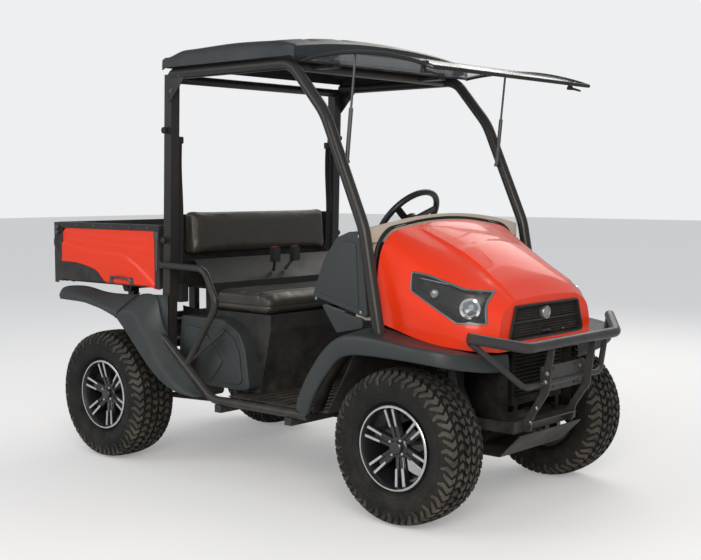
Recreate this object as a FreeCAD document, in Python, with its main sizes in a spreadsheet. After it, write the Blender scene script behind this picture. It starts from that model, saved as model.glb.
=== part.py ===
"""Side by side utility vehicle with roof, raised windshield and tipping cargo bed.

Frame of the model: +Z up, the front of the vehicle towards -Y, its left side towards +X.
The origin is on the ground, midway between the axles. Lengths are in millimetres, angles in degrees.
"""
import FreeCAD, Part
import math
import os
import re
from types import SimpleNamespace

import Sketcher
from FreeCAD import Placement, Rotation, Vector

# Driving dimensions. Places are measured from the origin: _x, _y and _z in their names say along which axis.
SIZES = {
    "wheelbase": 1857,
    "half_length": 1385,
    "half_track": 550,
    "tyre_radius": 316,
    "front_tyre_width": 226,
    "rear_tyre_width": 238,
    "shoulder_round": 34,
    "running_gap": 0.05,
    "seat_gap": 0.3,
    "rim_lip_radius": 172,
    "rim_lip_width": 7,
    "bead_radius": 158,
    "barrel_wall": 7,
    "rim_width": 190,
    "disc_face": 66,
    "disc_back": 44,
    "hub_radius": 46,
    "hub_inner_end": -66,
    "cap_radius": 27,
    "cap_height": 12,
    "spoke_count": 6,
    "spoke_width": 20,
    "spoke_gap": 17,
    "spindle_radius": 17,
    "spindle_end": 40,
    "rail_inner_x": 190,
    "rail_outer_x": 240,
    "rail_height": 50,
    "front_rail_z": 350,
    "mid_rail_z": 300,
    "rear_rail_z": 450,
    "rail_front_y": -1225,
    "rail_rear_y": 1290,
    "front_drop_y": -720,
    "rear_rise_y": 330,
    "rise_length": 220,
    "cross_tube": 44,
    "strut_top_x": 310,
    "strut_top_z": 740,
    "ball_x": 455,
    "ball_z": 240,
    "strut_tube_radius": 22,
    "strut_tube_top_z": 560,
    "strut_rod_radius": 10,
    "spring_radius": 44,
    "spring_low_z": 575,
    "spring_wire": 11,
    "tower_plate": 6,
    "tower_half_gap": 56,
    "arm_tube_radius": 13,
    "arm_pivot_front_y": -1060,
    "arm_pivot_rear_y": -800,
    "arm_pivot_z": 318,
    "bushing_radius": 18,
    "bushing_length": 44,
    "steering_arm_y": -815,
    "steering_arm_x": 402,
    "steering_arm_z": 398,
    "steering_arm_height": 16,
    "rack_y": -822,
    "rack_z": 430,
    "rack_half_length": 200,
    "rack_housing_radius": 17,
    "rack_rod_radius": 11,
    "rack_rod_half": 262,
    "tie_rod_radius": 9,
    "tie_end_radius": 15,
    "tie_end_height": 20,
    "tie_end_lift": 19,
    "knuckle_half_width": 25,
    "knuckle_face_x": 475,
    "knuckle_inner_x": 448,
    "half_shaft_radius": 13,
    "joint_radius": 30,
    "joint_length": 46,
    "front_joint_x": 402,
    "front_case_half": 85,
    "front_case_low": 258,
    "front_case_high": 398,
    "front_case_length": 150,
    "prop_shaft_radius": 14,
    "prop_shaft_z": 384,
    "rear_case_half": 110,
    "rear_case_low": 225,
    "rear_case_high": 436,
    "rear_case_length": 140,
    "carrier_x": 448,
    "carrier_thick": 27,
    "beam_radius": 27,
    "beam_y": 1035,
    "beam_bend": 45,
    "shock_low_x": 330,
    "shock_top_x": 285,
    "shock_top_z": 648,
    "shock_radius": 38,
    "shock_tower_y": 1035,
    "shock_tower_x": 330,
    "engine_half_width": 165,
    "engine_front_y": 335,
    "engine_rear_y": 800,
    "engine_low_z": 400,
    "engine_high_z": 700,
    "skid_half_width": 240,
    "skid_thick": 4,
    "skid_nose_y": -1262,
    "skid_nose_z": 344,
    "skid_rear_y": 300,
    "skid_low_z": 246,
    "pillar_base_y": -814,
    "pillar_base_z": 730,
    "pillar_x": 585,
    "pillar_radius": 25,
    "pillar_knee_y": -730,
    "pillar_knee_z": 1180,
    "pillar_elbow_y": -520,
    "pillar_elbow_z": 1650,
    "rail_top_z": 1893,
    "rail_top_y": -330,
    "top_tube_rear_y": 430,
    "hoop_bend": 300,
    "hoop_top_bend": 120,
    "post_x": 569,
    "post_size": 50,
    "post_top_y": 461,
    "post_mid_y": 483,
    "post_mid_z": 1077,
    "post_foot_y": 503,
    "post_foot_z": 676,
    "front_cross_y": -262,
    "rear_cross_z": 1850,
    "cross_radius": 21,
    "roof_half_width": 622,
    "roof_rear_y": 470,
    "roof_front_y": -375,
    "roof_skirt_z": 1922,
    "roof_side_z": 1975,
    "roof_crown_z": 2018,
    "roof_wall": 6,
    "screen_half_width": 592,
    "screen_hinge_y": -392,
    "screen_hinge_z": 1872,
    "screen_tip_y": -1080,
    "screen_tip_z": 1800,
    "screen_rise": 44,
    "screen_wall": 6,
    "screen_strut_y": -650,
    "screen_strut_low_y": -604,
    "screen_strut_low_z": 1452,
    "screen_strut_radius": 9,
    "hood_rear_y": -742,
    "hood_wall": 5,
    "hood_gap": 3,
    "hood_nose_y": -1231,
    "hood_hinge_z": 1190,
    "hood_hinge_x": 120,
    "hood_barrel_radius": 7,
    "hood_pin_radius": 3.5,
    "hood_barrel_length": 12,
    "hood_hinge_y": -732,
    "lamp_depth": 60,
    "grille_top_z": 868,
    "grille_low_z": 733,
    "grille_top_half": 240,
    "grille_low_half": 285,
    "grille_depth": 26,
    "cowl_front_y": -722,
    "cowl_rear_y": -560,
    "cowl_half_width": 545,
    "cowl_side_z": 1176,
    "cowl_crown_z": 1232,
    "cowl_low_z": 1120,
    "dash_front_y": -650,
    "dash_rear_y": -590,
    "dash_low_z": 800,
    "firewall_y": -715,
    "toe_top_z": 700,
    "floor_front_y": -545,
    "floor_rear_y": 60,
    "floor_z": 400,
    "floor_half_width": 600,
    "floor_wall": 6,
    "panel_x": 560,
    "panel_wall": 8,
    "fender_inner_x": 504,
    "fender_outer_x": 690,
    "fender_wall": 6,
    "fender_nose_y": -1218,
    "fender_corner_radius": 160,
    "front_fender_top_z": 765,
    "apron_inner_x": 250,
    "apron_low_z": 606,
    "apron_top_z": 684,
    "bed_side_gap": 5,
    "bed_panel_thick": 20,
    "bed_panel_inset": 2,
    "bead_drop": 31,
    "bead_pitch": 44,
    "bead_half": 8,
    "bead_depth": 6,
    "press_length": 190,
    "press_slope": 0.62,
    "press_depth": 5,
    "bed_inner_x": 548,
    "bed_half_width": 600,
    "bed_front_y": 534,
    "bed_rear_y": 1352,
    "bed_floor_z": 862,
    "bed_top_z": 1165,
    "bed_wall": 4,
    "bed_rail": 28,
    "bed_hinge_y": 1215,
    "bed_hinge_z": 812,
    "bed_beam_x": 215,
    "bed_beam_low_z": 836,
    "gate_thick": 28,
    "gate_gap": 5,
    "gate_rise": 6,
    "deck_thick": 14,
    "gate_hinge_y": 1338,
    "gate_hinge_z": 862,
    "gate_pin_radius": 5,
    "seat_half_width": 500,
    "cushion_front_y": -105,
    "cushion_rear_y": 300,
    "cushion_low_z": 770,
    "cushion_top_z": 862,
    "backrest_half_width": 482,
    "backrest_front_y": 425,
    "backrest_rear_y": 515,
    "backrest_low_z": 1012,
    "backrest_top_z": 1243,
    "seat_base_half_width": 470,
    "seat_base_front_y": -40,
    "seat_base_rear_y": 300,
    "side_panel_x": 505,
    "side_panel_wall": 52,
    "sill_x": 640,
    "sill_radius": 19,
    "sill_z": 386,
    "sill_bend": 120,
    "guard_radius": 22,
    "guard_bend": 80,
    "guard_low_radius": 13,
    "upright_x": 168,
    "upright_thick": 8,
    "hip_radius": 16,
    "hip_x": 620,
    "wheel_centre_x": 290,
    "wheel_centre_y": -262,
    "wheel_centre_z": 1180,
    "wheel_tilt": 38,
    "wheel_ring_radius": 180,
    "wheel_grip_radius": 15,
    "column_radius": 24,
    "column_length": 430,
    "wheel_hub_depth": 65,
    "radiator_half": 190,
    "radiator_front_y": -1190,
    "radiator_thick": 50,
    "radiator_top_z": 840,
    "radiator_lift": 60,
    "tank_height": 34,
    "fin_pitch": 16,
    "fin_depth": 9,
    "hitch_z": 420,
    "hitch_pin_radius": 10,
}


def fill_sheet(doc):
    """Write the driving dimensions into the document's spreadsheet and read them back as numbers."""
    sheet = doc.addObject("Spreadsheet::Sheet", "Sizes")
    for row, (alias, value) in enumerate(SIZES.items(), start=1):
        sheet.set(f"A{row}", alias)
        sheet.set(f"B{row}", str(value))
        sheet.setAlias(f"B{row}", alias)
    doc.recompute()
    return SimpleNamespace(**{alias: float(sheet.get(alias)) for alias in SIZES})


def formula(text):
    """Turn a formula of size names into an expression on the spreadsheet."""
    return re.sub(r"[a-z][a-z_]+", lambda word: f"Sizes.{word.group()}", text)


def block(doc, name, x, y, z):
    """Box between a low and a high formula along each axis."""
    box = doc.addObject("Part::Box", name)
    for size, axis, (low, high) in (("Length", "x", x), ("Width", "y", y), ("Height", "z", z)):
        box.setExpression(size, formula(f"({high}) - ({low})"))
        box.setExpression(f"Placement.Base.{axis}", formula(low))
    return box


def fused(doc, name, objects):
    """Union of several objects."""
    union = doc.addObject("Part::MultiFuse", name)
    union.Shapes = objects
    return union


def feature(doc, name, shape):
    """Object that holds a finished shape."""
    holder = doc.addObject("Part::Feature", name)
    holder.Shape = shape
    return holder


def rounded_path(points, closed):
    """Wire through points (position, radius), each corner rounded by an arc of its radius."""
    corners = [(Vector(*place), radius) for place, radius in points]
    count = len(corners)
    cuts = []
    for index, (corner, radius) in enumerate(corners):
        if radius == 0 or (not closed and index in (0, count - 1)):
            cuts.append((corner, None, corner))
            continue
        back = (corners[index - 1][0] - corner).normalize()
        ahead = (corners[(index + 1) % count][0] - corner).normalize()
        half_angle = back.getAngle(ahead) / 2
        reach = radius / math.tan(half_angle)
        middle = (back + ahead).normalize()
        centre = corner + middle * (radius / math.sin(half_angle))
        cuts.append((corner + back * reach, centre - middle * radius, corner + ahead * reach))
    edges = []
    for index, (start, through, end) in enumerate(cuts):
        if through is not None:
            edges.append(Part.Arc(start, through, end).toShape())
        if closed or index < count - 1:
            following = cuts[(index + 1) % count][0]
            if end.distanceToPoint(following) > 1e-6:
                edges.append(Part.makeLine(end, following))
    return Part.Wire(edges)


LIFT = {
    "YZ": lambda a, b, depth: (depth, a, b),
    "XZ": lambda a, b, depth: (a, depth, b),
    "XY": lambda a, b, depth: (a, b, depth),
}


def prism(plane, outline, low, high):
    """Solid with an outline of (across, up) or (across, up, corner radius) between two depths."""
    points = []
    for across, up, *radius in outline:
        points.append((LIFT[plane](across, up, low), radius[0] if radius else 0))
    face = Part.Face(rounded_path(points, closed=True))
    return face.extrude(Vector(*LIFT[plane](0, 0, high - low)))


def strip(plane, path, wall, low, high):
    """Sheet of even wall that follows a path of (across, up) points, bent without rounding."""
    lower = [Vector(across, up, 0) for across, up in path]
    upper = []
    for index, point in enumerate(lower):
        before = (point - lower[index - 1]).normalize() if index else None
        after = (lower[index + 1] - point).normalize() if index < len(lower) - 1 else None
        along = (before or after) + (after or before)
        along.normalize()
        side = Vector(-along.y, along.x, 0)
        stretch = 1 if before is None or after is None else side.dot(Vector(-after.y, after.x, 0))
        upper.append(point + side * (wall / stretch))
    outline = [(point.x, point.y) for point in lower + upper[::-1]]
    return prism(plane, outline, low, high)


def tube(places, radius, *bends):
    """Round bar along a path of places; one bend radius for all inner corners, or one for each."""
    radii = [0, *(bends if len(bends) > 1 else bends * (len(places) - 2)), 0]
    path = rounded_path(list(zip(places, radii)), closed=False)
    start = Vector(*places[0])
    ring = Part.makeCircle(radius, start, Vector(*places[1]) - start)
    return path.makePipeShell([Part.Wire(ring)], True, False)


def square_tube(places, size, bend):
    """Square bar along a path that lies in a plane of constant x."""
    path = rounded_path([(place, bend) for place in places], closed=False)
    start = Vector(*places[0])
    along = (Vector(*places[1]) - start).normalize()
    side = Vector(1, 0, 0) * (size / 2)
    up = along.cross(Vector(1, 0, 0)) * (size / 2)
    corners = [start + side + up, start - side + up, start - side - up, start + side - up]
    return path.makePipeShell([Part.makePolygon(corners + corners[:1])], True, False)


def bar(start, end, radius):
    """Straight round bar between two places."""
    along = Vector(*end) - Vector(*start)
    return Part.makeCylinder(radius, along.Length, Vector(*start), along)


def cuboid(x, y, z):
    """Box shape between a low and a high number along each axis."""
    return Part.makeBox(x[1] - x[0], y[1] - y[0], z[1] - z[0], Vector(x[0], y[0], z[0]))


def mirrored(shape):
    """The same shape on the other side of the vehicle."""
    return shape.mirror(Vector(0, 0, 0), Vector(1, 0, 0))


def both_sides(shape):
    """A shape together with its mirror image, as separate solids."""
    return Part.makeCompound([shape, mirrored(shape)])


def union(shapes):
    """One solid out of shapes that touch or overlap."""
    return shapes[0].multiFuse(shapes[1:]).removeSplitter()


def spring_barrel(radius, wire, length):
    """Outer form of a coil spring along +Z: a revolved body with one groove per coil."""
    turns = max(3, round(length / (wire * 2.6)))
    pitch = length / turns
    outline = [Vector(0, 0, 0), Vector(radius, 0, 0)]
    for turn in range(turns):
        outline.append(Vector(radius, 0, (turn + 0.45) * pitch))
        outline.append(Vector(radius - wire, 0, (turn + 0.72) * pitch))
        outline.append(Vector(radius, 0, (turn + 1) * pitch))
    outline.append(Vector(0, 0, length))
    face = Part.Face(Part.makePolygon(outline + outline[:1]))
    return face.revolve(Vector(0, 0, 0), Vector(0, 0, 1), 360)


def stand_on(shape, start, end):
    """Move a shape built along +Z so that it runs from start towards end."""
    turned = shape.copy()
    turned.Placement = Placement(Vector(*start), Rotation(Vector(0, 0, 1), Vector(*end) - Vector(*start)))
    return turned


def chassis_frame(doc, d):
    """Two box rails that step over the axles, with cross-members, sill outriggers, floor and engine rests."""
    rise_end = d.rear_rise_y + d.rise_length
    drop_end = d.front_drop_y + d.rise_length / 2
    low_line = [
        (d.rail_front_y, d.front_rail_z), (d.front_drop_y, d.front_rail_z),
        (drop_end, d.mid_rail_z), (d.rear_rise_y, d.mid_rail_z),
        (rise_end, d.rear_rail_z), (d.rail_rear_y, d.rear_rail_z),
    ]
    high_line = [(y, z + d.rail_height) for y, z in low_line]
    rail = prism("YZ", low_line + high_line[::-1], d.rail_inner_x, d.rail_outer_x)
    parts = [rail, mirrored(rail)]

    # Cross-members between the rails: centre along y, underside z.
    half = d.cross_tube / 2
    for y, z in (
        (d.rail_front_y + half, d.front_rail_z), (d.arm_pivot_front_y, d.front_rail_z),
        (-400, d.mid_rail_z), (60, d.mid_rail_z), (d.rear_rise_y - 48, d.mid_rail_z),
        (d.engine_rear_y + 50, d.rear_rail_z),
        (d.rail_rear_y - half, d.rear_rail_z),
    ):
        parts.append(cuboid((-d.rail_outer_x, d.rail_outer_x), (y - half, y + half), (z, z + d.cross_tube)))
    sill_under = d.sill_z - d.sill_radius
    for y in (-360, 80):
        parts.append(cuboid((-d.sill_x - 10, d.sill_x + 10), (y - 20, y + 20), (sill_under - 34, sill_under)))
    top = d.rear_rail_z + d.rail_height
    mount_y = (d.engine_front_y + d.engine_rear_y) / 2 + 40
    mount = cuboid((d.engine_half_width + d.seat_gap, d.rail_inner_x + 1), (mount_y - 40, mount_y + 40),
                   (d.rear_rail_z + 4, top - 4))
    parts += [mount, mirrored(mount)]
    for x in (d.rail_inner_x, -d.rail_outer_x):
        for y in (-360, 20):
            parts.append(cuboid((x, x + d.rail_outer_x - d.rail_inner_x), (y - 20, y + 20),
                                (d.mid_rail_z + d.rail_height - 5, d.floor_z - d.seat_gap)))
    return {"chassis_frame": feature(doc, "chassis_frame", union(parts))}


def front_towers(doc, d):
    """Strut towers on the rails, and the cross tube under the pillars' feet on its two posts."""
    axle_y = -d.wheelbase / 2
    top = d.strut_top_z + d.tower_plate
    rail_top = d.front_rail_z + d.rail_height + d.seat_gap
    side = [
        (d.rail_inner_x + 10, rail_top), (d.rail_outer_x, rail_top),
        (d.strut_top_x + 42, top - d.tower_plate), (d.strut_top_x + 42, top), (d.rail_inner_x + 10, top),
    ]
    shapes = []
    for near, far in ((d.tower_half_gap, d.tower_half_gap + d.tower_plate),
                      (-d.tower_half_gap - d.tower_plate, -d.tower_half_gap)):
        plate = prism("XZ", side, axle_y + near, axle_y + far)
        shapes += [plate, mirrored(plate)]
    cap = cuboid((d.rail_inner_x + 10, d.strut_top_x + 42),
                 (axle_y - d.tower_half_gap - d.tower_plate, axle_y + d.tower_half_gap + d.tower_plate),
                 (top - d.tower_plate, top))
    shapes += [cap, mirrored(cap)]

    tube_low = d.pillar_base_z - d.cross_tube
    span = d.pillar_x + d.pillar_radius
    pillar_y = d.pillar_base_y
    shapes.append(cuboid((-span, span), (pillar_y - 30, pillar_y + 34), (tube_low, d.pillar_base_z)))
    for x in (d.rail_inner_x, -d.rail_outer_x):
        shapes.append(cuboid((x, x + d.rail_outer_x - d.rail_inner_x), (pillar_y + 22, pillar_y + 22 + d.cross_tube),
                             (rail_top, tube_low + 5)))
    welded = shapes[0].multiFuse(shapes[1:]).removeSplitter()
    return {"front_towers": feature(doc, "front_towers", Part.makeCompound(welded.Solids))}


def rear_mounts(doc, d):
    """Outriggers for the hoops' rear posts, tower for the shock absorbers, bed rests and bed hinge uprights."""
    top = d.rear_rail_z + d.rail_height
    post_y = d.post_foot_y
    half = d.post_size / 2
    arm = cuboid((d.rail_outer_x + d.seat_gap, d.post_x + half), (post_y - half, post_y + half - 4), (top - 50, top))
    post = cuboid((d.post_x - half, d.post_x + half), (post_y - half, post_y + half - 4), (top - 5, d.post_foot_z - 10))
    shapes = [arm, mirrored(arm), post, mirrored(post)]
    tower_y = d.shock_tower_y
    shapes.append(cuboid((-d.shock_tower_x, d.shock_tower_x), (tower_y - 20, tower_y + 20),
                         (d.shock_top_z, d.shock_top_z + 30)))
    # Uprights on the rails: centre along y, half length along y, top z.
    rest_y = d.bed_front_y + 60
    hinge_y = d.bed_hinge_y
    for y, half_y, high in ((tower_y, 18, d.shock_top_z + 5), (rest_y, 22, d.bed_beam_low_z - d.seat_gap),
                            (hinge_y, 24, d.bed_hinge_z)):
        upright = cuboid((d.bed_beam_x - 18, d.bed_beam_x + 18), (y - half_y, y + half_y), (top + d.seat_gap, high))
        shapes += [upright, mirrored(upright)]
    pin = bar((-d.bed_beam_x - 48, hinge_y, d.bed_hinge_z), (d.bed_beam_x + 48, hinge_y, d.bed_hinge_z), 12)
    boss = bar((d.bed_beam_x - 18, hinge_y, d.bed_hinge_z), (d.bed_beam_x + 18, hinge_y, d.bed_hinge_z), 24)
    shapes += [pin, boss, mirrored(boss)]
    welded = shapes[0].multiFuse(shapes[1:]).removeSplitter()
    return {"rear_mounts": feature(doc, "rear_mounts", Part.makeCompound(welded.Solids))}


def skid_plate(doc, d):
    """Bent plate under the nose and the middle of the chassis."""
    under_mid = d.mid_rail_z - d.skid_thick - d.seat_gap
    drop_end = d.front_drop_y + d.rise_length / 2
    path = [
        (d.skid_nose_y, d.skid_nose_z), (d.rail_front_y + 60, d.skid_low_z),
        (d.front_drop_y, d.skid_low_z), (drop_end, under_mid), (d.skid_rear_y, under_mid),
    ]
    plate = strip("YZ", path, d.skid_thick, -d.skid_half_width, d.skid_half_width)
    return {"skid_plate": feature(doc, "skid_plate", plate)}


def strut_point(d, z):
    """Place on the left strut's axis at a height; the wheel is steered about this axis."""
    share = (z - d.ball_z) / (d.strut_top_z - d.ball_z)
    return (d.ball_x + (d.strut_top_x - d.ball_x) * share, -d.wheelbase / 2, z)


def front_arms(doc, d):
    """Lower A-arms: two tubes from the ball joint to bushings on the rail."""
    axle_y = -d.wheelbase / 2
    pivot_x = d.rail_outer_x + d.bushing_radius + d.seat_gap
    ball_low = d.ball_z - 30
    shapes = [bar(strut_point(d, ball_low - 2), strut_point(d, d.ball_z - d.seat_gap), d.strut_tube_radius - 2)]
    for pivot_y in (d.arm_pivot_front_y, d.arm_pivot_rear_y):
        half = d.bushing_length / 2
        shapes.append(bar((pivot_x, pivot_y - half, d.arm_pivot_z - 30), (pivot_x, pivot_y + half, d.arm_pivot_z - 30),
                          d.bushing_radius))
        shapes.append(bar((d.ball_x, axle_y, ball_low), (pivot_x, pivot_y, d.arm_pivot_z - 30),
                          d.arm_tube_radius))
        shapes.append(cuboid((pivot_x - 6, pivot_x + 6), (pivot_y - half, pivot_y + half),
                             (d.arm_pivot_z - 30, d.front_rail_z + 20)))
    return {"front_arms": feature(doc, "front_arms", both_sides(union(shapes)))}


def spring_units(doc, d):
    """Front strut rods with springs, and the rear coil-over shock absorbers."""
    top = strut_point(d, d.strut_top_z - 22)
    spring_low = strut_point(d, d.spring_low_z)
    tube_top = strut_point(d, d.strut_tube_top_z + d.seat_gap)
    length = (Vector(*top) - Vector(*spring_low)).Length
    coil = stand_on(spring_barrel(d.spring_radius, d.spring_wire, length), spring_low, top)
    seat = bar(strut_point(d, d.spring_low_z - 5), strut_point(d, d.spring_low_z + 1), d.spring_radius + 4)
    rod = bar(tube_top, strut_point(d, d.strut_top_z - 3.2), d.strut_rod_radius)
    mount = bar(strut_point(d, d.strut_top_z - 23), strut_point(d, d.strut_top_z - 14), d.spring_radius - 12)
    front = union([rod, seat, coil, mount])

    low = Vector(d.shock_low_x, d.beam_y, d.tyre_radius + d.beam_radius + 12)
    high = Vector(d.shock_top_x, d.shock_tower_y, d.shock_top_z - 12)
    along = high - low
    body = spring_barrel(d.shock_radius, d.spring_wire, along.Length * 0.62)
    coil = stand_on(body, low + along * 0.3, high)
    damper = bar(low, low + along * 0.34, 22)
    rod = bar(low + along * 0.9, high, 11)
    foot = bar(low - Vector(0, 18, 0), low + Vector(0, 18, 0), 12)
    head = bar(high - Vector(0, 18, 0), high + Vector(0, 18, 0), 12)
    rear = union([coil, damper, rod, foot, head])
    return {"spring_units": feature(doc, "spring_units",
                                    Part.makeCompound([front, mirrored(front), rear, mirrored(rear)]))}


def knuckle_shape(d):
    """Left steering knuckle with strut tube, ball socket, steering arm and wheel spindle."""
    axle_y = -d.wheelbase / 2
    half = d.knuckle_half_width
    tube_low = d.tyre_radius + 56
    strut = bar(strut_point(d, tube_low), strut_point(d, d.strut_tube_top_z), d.strut_tube_radius)
    inner, face = d.knuckle_inner_x, d.knuckle_face_x
    shoulder_x = strut_point(d, 408)[0]
    web = [
        (shoulder_x - 16, 372), (shoulder_x - 16, 408), (shoulder_x + 22, 408), (face, 372),
        (face, d.ball_z + 22), (d.ball_x - 22, d.ball_z + 22), (d.ball_x - 22, d.ball_z + 34),
        (inner, d.ball_z + 42), (inner, 352), (inner - 20, 372),
    ]
    socket = bar(strut_point(d, d.ball_z), strut_point(d, d.ball_z + 30), d.strut_tube_radius - 2)
    arm = [(d.steering_arm_x - 16, axle_y), (d.steering_arm_x + 20, axle_y),
           (d.steering_arm_x + 14, d.steering_arm_y - 6), (d.steering_arm_x + 14, d.steering_arm_y + 12),
           (d.steering_arm_x - 14, d.steering_arm_y + 12), (d.steering_arm_x - 14, d.steering_arm_y - 6)]
    arm_low = d.steering_arm_z - d.steering_arm_height / 2
    wheel_x = d.half_track
    spindle = bar((face - 5, axle_y, d.tyre_radius), (wheel_x + d.spindle_end, axle_y, d.tyre_radius),
                  d.spindle_radius)
    collar = bar((inner, axle_y, d.tyre_radius), (face + 3, axle_y, d.tyre_radius), 38)
    return union([strut, socket, prism("XZ", web, axle_y - half, axle_y + half),
                  prism("XY", arm, arm_low, arm_low + d.steering_arm_height), spindle, collar])


def knuckles(doc, d):
    """Left and right steering knuckle."""
    left = knuckle_shape(d)
    return {"knuckle_left": feature(doc, "knuckle_left", left),
            "knuckle_right": feature(doc, "knuckle_right", mirrored(left))}


def steering_gear(doc, d):
    """Rack housing on the rails, and the sliding rack with its tie rods."""
    tube_shape = bar((-d.rack_half_length, d.rack_y, d.rack_z), (d.rack_half_length, d.rack_y, d.rack_z),
                     d.rack_housing_radius)
    bore = bar((-d.rack_half_length - 1, d.rack_y, d.rack_z), (d.rack_half_length + 1, d.rack_y, d.rack_z),
               d.rack_rod_radius + d.running_gap)
    rail_top = d.front_rail_z + d.rail_height
    shapes = [tube_shape]
    for x in (-d.rack_half_length, d.rail_inner_x):
        foot = cuboid((x, d.rack_half_length + x - d.rail_inner_x) if x > 0 else (x, -d.rail_inner_x),
                      (d.rack_y - 14, d.rack_y + 14), (rail_top, d.rack_z))
        shapes.append(foot)
    pinion = bar((d.wheel_centre_x - 130, d.rack_y, d.rack_z), (d.wheel_centre_x - 130, d.rack_y + 10, d.rack_z + 60),
                 16)
    housing = union(shapes + [pinion]).cut(bore)

    eye_low = d.steering_arm_z + d.steering_arm_height / 2 + d.tie_end_lift
    rod = bar((-d.rack_rod_half, d.rack_y, d.rack_z), (d.rack_rod_half, d.rack_y, d.rack_z), d.rack_rod_radius)
    eye = bar((d.steering_arm_x, d.steering_arm_y, eye_low),
              (d.steering_arm_x, d.steering_arm_y, eye_low + d.tie_end_height), d.tie_end_radius)
    tie = bar((d.rack_rod_half - 8, d.rack_y, d.rack_z), (d.steering_arm_x, d.steering_arm_y, eye_low + 10),
              d.tie_rod_radius)
    rack = union([rod, eye, tie, mirrored(eye), mirrored(tie)])
    return {"rack_housing": feature(doc, "rack_housing", housing),
            "steering_rack": feature(doc, "steering_rack", rack)}


def driveline(doc, d):
    """Front gear case, transaxle and their half shafts with boots, and the prop shaft between them."""
    front_y, rear_y = -d.wheelbase / 2, d.wheelbase / 2
    height = d.tyre_radius
    shapes = []
    # Gear cases: centre y, half width, low z, high z, length along y.
    for y, half, low, high, length in (
        (front_y, d.front_case_half, d.front_case_low, d.front_case_high, d.front_case_length),
        (rear_y, d.rear_case_half, d.rear_case_low, d.rear_case_high, d.rear_case_length),
    ):
        outline = [(y - length / 2, low, 30), (y + length / 2, low, 30), (y + length / 2, high, 30),
                   (y - length / 2, high, 30)]
        shapes.append(prism("YZ", outline, -half, half))
    # Half shafts: axle y, where the outer joint ends.
    for y, joint_x in ((front_y, d.front_joint_x), (rear_y, d.carrier_x - d.seat_gap)):
        for side in (-1, 1):
            shapes.append(bar((0, y, height), (side * (joint_x - 4), y, height), d.half_shaft_radius))
            boot = Part.makeCone(d.half_shaft_radius + 4, d.joint_radius, d.joint_length,
                                 Vector(side * (joint_x - d.joint_length), y, height), Vector(side, 0, 0))
            shapes.append(boot)
    shapes.append(bar((0, front_y, d.prop_shaft_z), (0, rear_y, d.prop_shaft_z), d.prop_shaft_radius))
    return {"driveline": feature(doc, "driveline", union(shapes))}


def rear_axle_beam(doc, d):
    """Beam behind the transaxle with hub carriers, wheel spindles and trailing links."""
    axle_y = d.wheelbase / 2
    height = d.tyre_radius
    face = d.carrier_x + d.carrier_thick
    middle = d.carrier_x + d.carrier_thick / 2
    start_y = axle_y + 56
    shapes = [tube([(middle, start_y, height), (middle, d.beam_y, height), (-middle, d.beam_y, height),
                    (-middle, start_y, height)], d.beam_radius, d.beam_bend)]
    for side in (-1, 1):
        plate = bar((side * d.carrier_x, axle_y, height), (side * face, axle_y, height), 62)
        spindle = bar((side * (face - 5), axle_y, height), (side * (d.half_track + d.spindle_end), axle_y, height),
                      d.spindle_radius)
        link = bar((side * 330, d.beam_y - 4, height - 35), (side * 290, d.rear_rise_y + 40, height - 14), 14)
        eye = bar((side * 262, d.rear_rise_y + 40, height - 14), (side * 308, d.rear_rise_y + 40, height - 14), 18)
        tab = cuboid(sorted((side * 266, side * (d.rail_outer_x + d.seat_gap))),
                     (d.rear_rise_y + 28, d.rear_rise_y + 52), (height - 12, height + 36))
        shapes += [plate, spindle, link, eye, tab]
    for side in (-1, 1):
        shapes.append(cuboid(sorted((side * (d.shock_low_x - 20), side * (d.shock_low_x + 20))),
                             (d.beam_y - 17, d.beam_y + 17), (height, height + d.beam_radius - d.seat_gap)))
    return {"rear_axle_beam": feature(doc, "rear_axle_beam", union(shapes))}


def engine_block(doc, d):
    """The engine as one plain block on the rails, under the seat's rear and the bed."""
    block(doc, "engine_block", ("-engine_half_width", "engine_half_width"), ("engine_front_y", "engine_rear_y"),
          ("engine_low_z", "engine_high_z"))
    return {"engine_block": doc.getObject("engine_block")}


def silencer(doc, d):
    """Exhaust silencer across the rear, with its tail pipe."""
    y, z = d.rail_rear_y - 120, d.rear_rail_z + d.rail_height + 66
    can = bar((-180, y, z), (150, y, z), 60)
    pipe = bar((-130, y + 40, z - 10), (-130, y + 165, z - 20), 16)
    rail_top = d.rear_rail_z + d.rail_height + d.seat_gap
    strap = cuboid((-d.rail_outer_x + 2, d.rail_outer_x - 2), (y - 22, y + 16), (rail_top, rail_top + 8))
    return {"silencer": feature(doc, "silencer", union([can, pipe, strap]))}


def drawbar(doc, d):
    """Rear drawbar with its pin hole, on the last cross-member."""
    z = d.hitch_z
    outline = [(-45, d.rail_rear_y - 60), (45, d.rail_rear_y - 60), (38, d.half_length - 8, 22),
               (-38, d.half_length - 8, 22)]
    tongue = prism("XY", outline, z - 6, z + 6)
    plate = cuboid((-60, 60), (d.rail_rear_y, d.rail_rear_y + 8), (z - 20, d.rear_rail_z + d.cross_tube))
    pin_y = d.half_length - 40
    hole = bar((0, pin_y, z - 10), (0, pin_y, z + 10), d.hitch_pin_radius)
    return {"drawbar": feature(doc, "drawbar", union([tongue, plate]).cut(hole))}


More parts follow.
